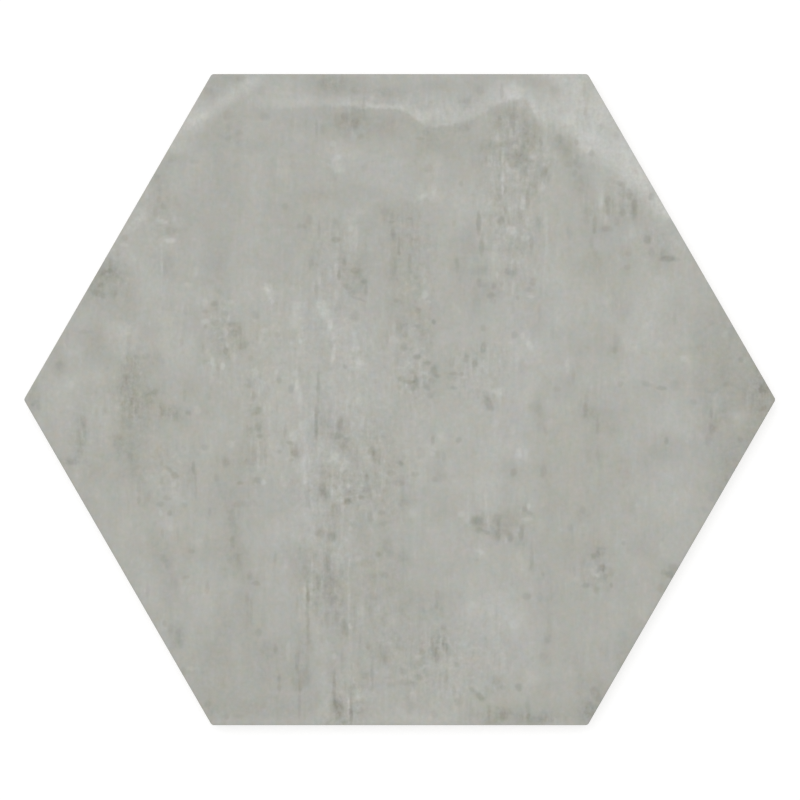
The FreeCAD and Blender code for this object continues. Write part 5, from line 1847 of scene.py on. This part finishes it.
@dataclass
class KeyedBack:
    """The honeycomb of shallow cells on the back."""

    sizes: TileSizes
    weld: float = 0.02 * MM

    def build(self, body: bpy.types.Material) -> bpy.types.Mesh:
        """Makes the honeycomb plate with its ribs on the plane that the tile lies on.

        Args:
            body: Material of the back.

        Returns:
            The plate, with an open outline.
        """
        lengths = {"Pitch": self.sizes.cell_pitch, "Rib Width": self.sizes.rib_width,
                   "Depth": self.sizes.key_depth, "Wall Draft": self.sizes.cell_draft}
        group = NodeGroup("key honeycomb", "GeometryNodeTree", {
            "Geometry": SocketKind.GEOMETRY, "Rings": SocketKind.INT,
            **dict.fromkeys(lengths, SocketKind.FLOAT), "Body": SocketKind.MATERIAL},
            {"Geometry": SocketKind.GEOMETRY})
        graph, given = group.graph, group.given
        cells = graph.add("GeometryNodeInstanceOnPoints", {
            "Points": self._middles(graph, given), "Instance": self._cell(graph, given)})
        real = graph.add("GeometryNodeRealizeInstances", {"Geometry": cells.outputs[0]})
        whole = graph.add("GeometryNodeMergeByDistance", {
            "Geometry": real.outputs[0], "Distance": self.weld})
        group.finish(Geometry=graph.dressed(whole.outputs[0], given["Body"]))
        plate = group.make("key_honeycomb", bpy.data.meshes.new("carrier"), {
            "Rings": self.sizes.cell_rings, **lengths, "Body": body})
        LOG.info("made the honeycomb: %d faces", len(plate.polygons))
        return plate

    @staticmethod
    def _middles(graph: Graph, given: bpy.types.NodeOutputs) -> Socket:
        """Sets points at the cells' middles: rings around the tile's centre.

        Args:
            graph: The group's tree.
            given: The group's inputs.

        Returns:
            The points.
        """
        rows = graph.math("MULTIPLY_ADD", given["Rings"], 2.0, 1.0)
        number = graph.add("GeometryNodeInputIndex").outputs[0]
        row = graph.math("SUBTRACT", graph.math("FLOOR", graph.math("DIVIDE", number, rows)),
                         given["Rings"])
        column = graph.math("SUBTRACT", graph.math("MODULO", number, rows), given["Rings"])
        x = graph.math("MULTIPLY", graph.math("MULTIPLY_ADD", row, 0.5, column), given["Pitch"])
        y = graph.math("MULTIPLY", graph.math("DIVIDE", row, CORNER_PER_FLAT), given["Pitch"])
        points = graph.add("GeometryNodePoints", {
            "Count": graph.math("MULTIPLY", rows, rows), "Position": graph.join(x, y)})
        place = graph.split(graph.add("GeometryNodeInputPosition").outputs[0])
        lean = graph.math("DIVIDE", place[1], 1 / CORNER_PER_FLAT)
        across = graph.math("ABSOLUTE", place[0])
        reach = graph.math("MAXIMUM", graph.math("MULTIPLY_ADD", lean, 0.5, across),
                           graph.math("MULTIPLY_ADD", lean, -0.5, across))
        limit = graph.math("MULTIPLY", graph.math("ADD", given["Rings"], 0.5), given["Pitch"])
        return graph.add("GeometryNodeDeleteGeometry", {
            "Geometry": points.outputs[0], "Selection": graph.above(reach, limit)},
            domain="POINT").outputs[0]

    @staticmethod
    def _cell(graph: Graph, given: bpy.types.NodeOutputs) -> Socket:
        """Makes one cell with its half of the ribs: land, leaning walls and floor.

        Args:
            graph: The group's tree.
            given: The group's inputs.

        Returns:
            The cell.
        """
        corner = graph.math("MULTIPLY", given["Pitch"], CORNER_PER_FLAT / 2)
        outline = graph.add("GeometryNodeMeshCircle", {"Vertices": SIDES, "Radius": corner},
                            fill_type="NGON").outputs[0]
        turned = graph.add("GeometryNodeTransform", {
            "Geometry": outline, "Rotation": (0, 0, math.pi / SIDES)}).outputs[0]
        down = graph.add("GeometryNodeFlipFaces", {"Mesh": turned}).outputs[0]
        mouth = graph.math("SUBTRACT", given["Pitch"], given["Rib Width"])
        lean = graph.math("MULTIPLY", graph.math("TANGENT", given["Wall Draft"]), given["Depth"])
        floor = graph.math("MULTIPLY_ADD", lean, -2.0, mouth)
        land = graph.add("GeometryNodeExtrudeMesh", {"Mesh": down, "Offset Scale": 0.0})
        opened = graph.add("GeometryNodeScaleElements", {
            "Geometry": land.outputs["Mesh"], "Selection": land.outputs["Top"],
            "Scale": graph.math("DIVIDE", mouth, given["Pitch"])}).outputs[0]
        wall = graph.add("GeometryNodeExtrudeMesh", {
            "Mesh": opened, "Selection": land.outputs["Top"],
            "Offset": graph.join(z=given["Depth"]), "Offset Scale": 1.0})
        return graph.add("GeometryNodeScaleElements", {
            "Geometry": wall.outputs["Mesh"], "Selection": wall.outputs["Top"],
            "Scale": graph.math("DIVIDE", floor, mouth)}).outputs[0]


# The studio

@dataclass
class Studio:
    """Plain pale floor, even soft light and a camera that looks straight down."""

    tile: TileSizes
    floor_reach: float = 3.0
    floor_colour: Colour = (0.85, 0.85, 0.85, 1)  # as it lights the tile
    shadow_colour: Colour = (0.45, 0.45, 0.45, 1)  # the part of its white that a shadow takes
    floor_glow: float = 0.62
    white: Colour = (1, 1, 1, 1)
    lens_mm: float = 135.0
    sensor_mm: float = 36.0
    world_light: float = 0.62
    key_light: float = 1.18
    key_tilt: float = math.radians(18.0)
    key_heading: float = math.radians(125.0)
    key_softness: float = math.radians(50.0)

    def build(self) -> None:
        """Makes the floor, the light and the camera."""
        self._floor()
        self._world()
        self._key()
        self._camera()

    def _floor(self) -> None:
        """Lays the floor, left open under the foot, so that the back can be looked at."""
        foot = (self.tile.apothem - self.tile.foot_inset) * CORNER_PER_FLAT
        points = []
        for reach in (foot, self.floor_reach):
            for side in range(SIDES):
                turn = 2 * math.pi * side / SIDES
                points.append((reach * math.cos(turn), reach * math.sin(turn), 0.0))
        faces = []
        for side in range(SIDES):
            after = (side + 1) % SIDES
            faces.append((side, SIDES + side, SIDES + after, after))
        mesh = bpy.data.meshes.new("floor")
        mesh.from_pydata(points, [], faces)
        mesh.materials.append(self._floor_finish())
        floor = bpy.data.objects.new("floor", mesh)
        bpy.context.scene.collection.objects.link(floor)

    def _floor_finish(self) -> bpy.types.Material:
        """Makes the floor white to the eye with the tile's soft shadow, and open from below.

        Returns:
            The floor's material.
        """
        material = bpy.data.materials.new("studio_floor")
        material.use_nodes = True
        graph = Graph(material.node_tree)
        matt, shade = (graph.add("ShaderNodeBsdfDiffuse", {"Color": colour}).outputs[0]
                       for colour in (self.floor_colour, self.shadow_colour))
        glow = graph.add("ShaderNodeEmission", {
            "Color": self.white, "Strength": self.floor_glow}).outputs[0]
        white = graph.add("ShaderNodeAddShader", {0: shade, 1: glow}).outputs[0]
        top = graph.add("ShaderNodeMixShader", {0: graph.seen(), 1: matt, 2: white}).outputs[0]
        clear = graph.add("ShaderNodeBsdfTransparent").outputs[0]
        under = graph.add("ShaderNodeNewGeometry").outputs["Backfacing"]
        done = graph.add("ShaderNodeMixShader", {0: under, 1: top, 2: clear}).outputs[0]
        graph.add("ShaderNodeOutputMaterial", {"Surface": done})
        return material

    def _world(self) -> None:
        """Even light from all round, white to the camera."""
        world = bpy.data.worlds.new("studio")
        bpy.context.scene.world = world
        world.use_nodes = True
        graph = Graph(world.node_tree)
        strength = graph.step(graph.seen(), 0.0, 1.0, self.world_light, 1.0)
        light = graph.add("ShaderNodeBackground", {"Color": self.white, "Strength": strength})
        graph.add("ShaderNodeOutputWorld", {"Surface": light.outputs[0]})

    def _key(self) -> None:
        """Soft key light from high up on the left, with no fall-off across the tile."""
        light = bpy.data.lights.new("key", "SUN")
        light.energy = self.key_light
        light.angle = self.key_softness
        key = bpy.data.objects.new("key", light)
        key.rotation_euler = (0.0, self.key_tilt, self.key_heading)
        bpy.context.scene.collection.objects.link(key)

    def _camera(self) -> None:
        """Camera over the tile, with its picture's top towards +Y."""
        data = bpy.data.cameras.new("camera")
        data.lens = self.lens_mm
        data.sensor_width = self.sensor_mm
        camera = bpy.data.objects.new("camera", data)
        across = PHOTO.side_px / PHOTO.view_px_per_mm * MM
        away = across / 2 / (self.sensor_mm / 2 / self.lens_mm)
        off = [(PHOTO.side_px / 2 - centre) / PHOTO.view_px_per_mm * MM
               for centre in PHOTO.centre_px]
        camera.location = (off[0], -off[1], self.tile.thickness + away)
        bpy.context.scene.collection.objects.link(camera)
        bpy.context.scene.camera = camera


def main() -> None:
    """Builds the tile and the studio around the frame."""
    logging.basicConfig(level=logging.INFO, format="%(name)s: %(message)s")
    low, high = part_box(NODE)
    sizes = TileSizes(across_flats=high.y - low.y, thickness=high.z - low.z)
    body = FiredBody()
    glaze = ConcreteGlaze(body)
    tile = PressedTile(sizes).build(glaze.build(), body.build())
    LOG.info("built %s: %d faces, %d points", tile.name, len(tile.data.polygons),
             len(tile.data.vertices))
    Studio(sizes).build()
    bpy.context.scene.view_settings.view_transform = "Standard"


if __name__ == "__main__":
    main()
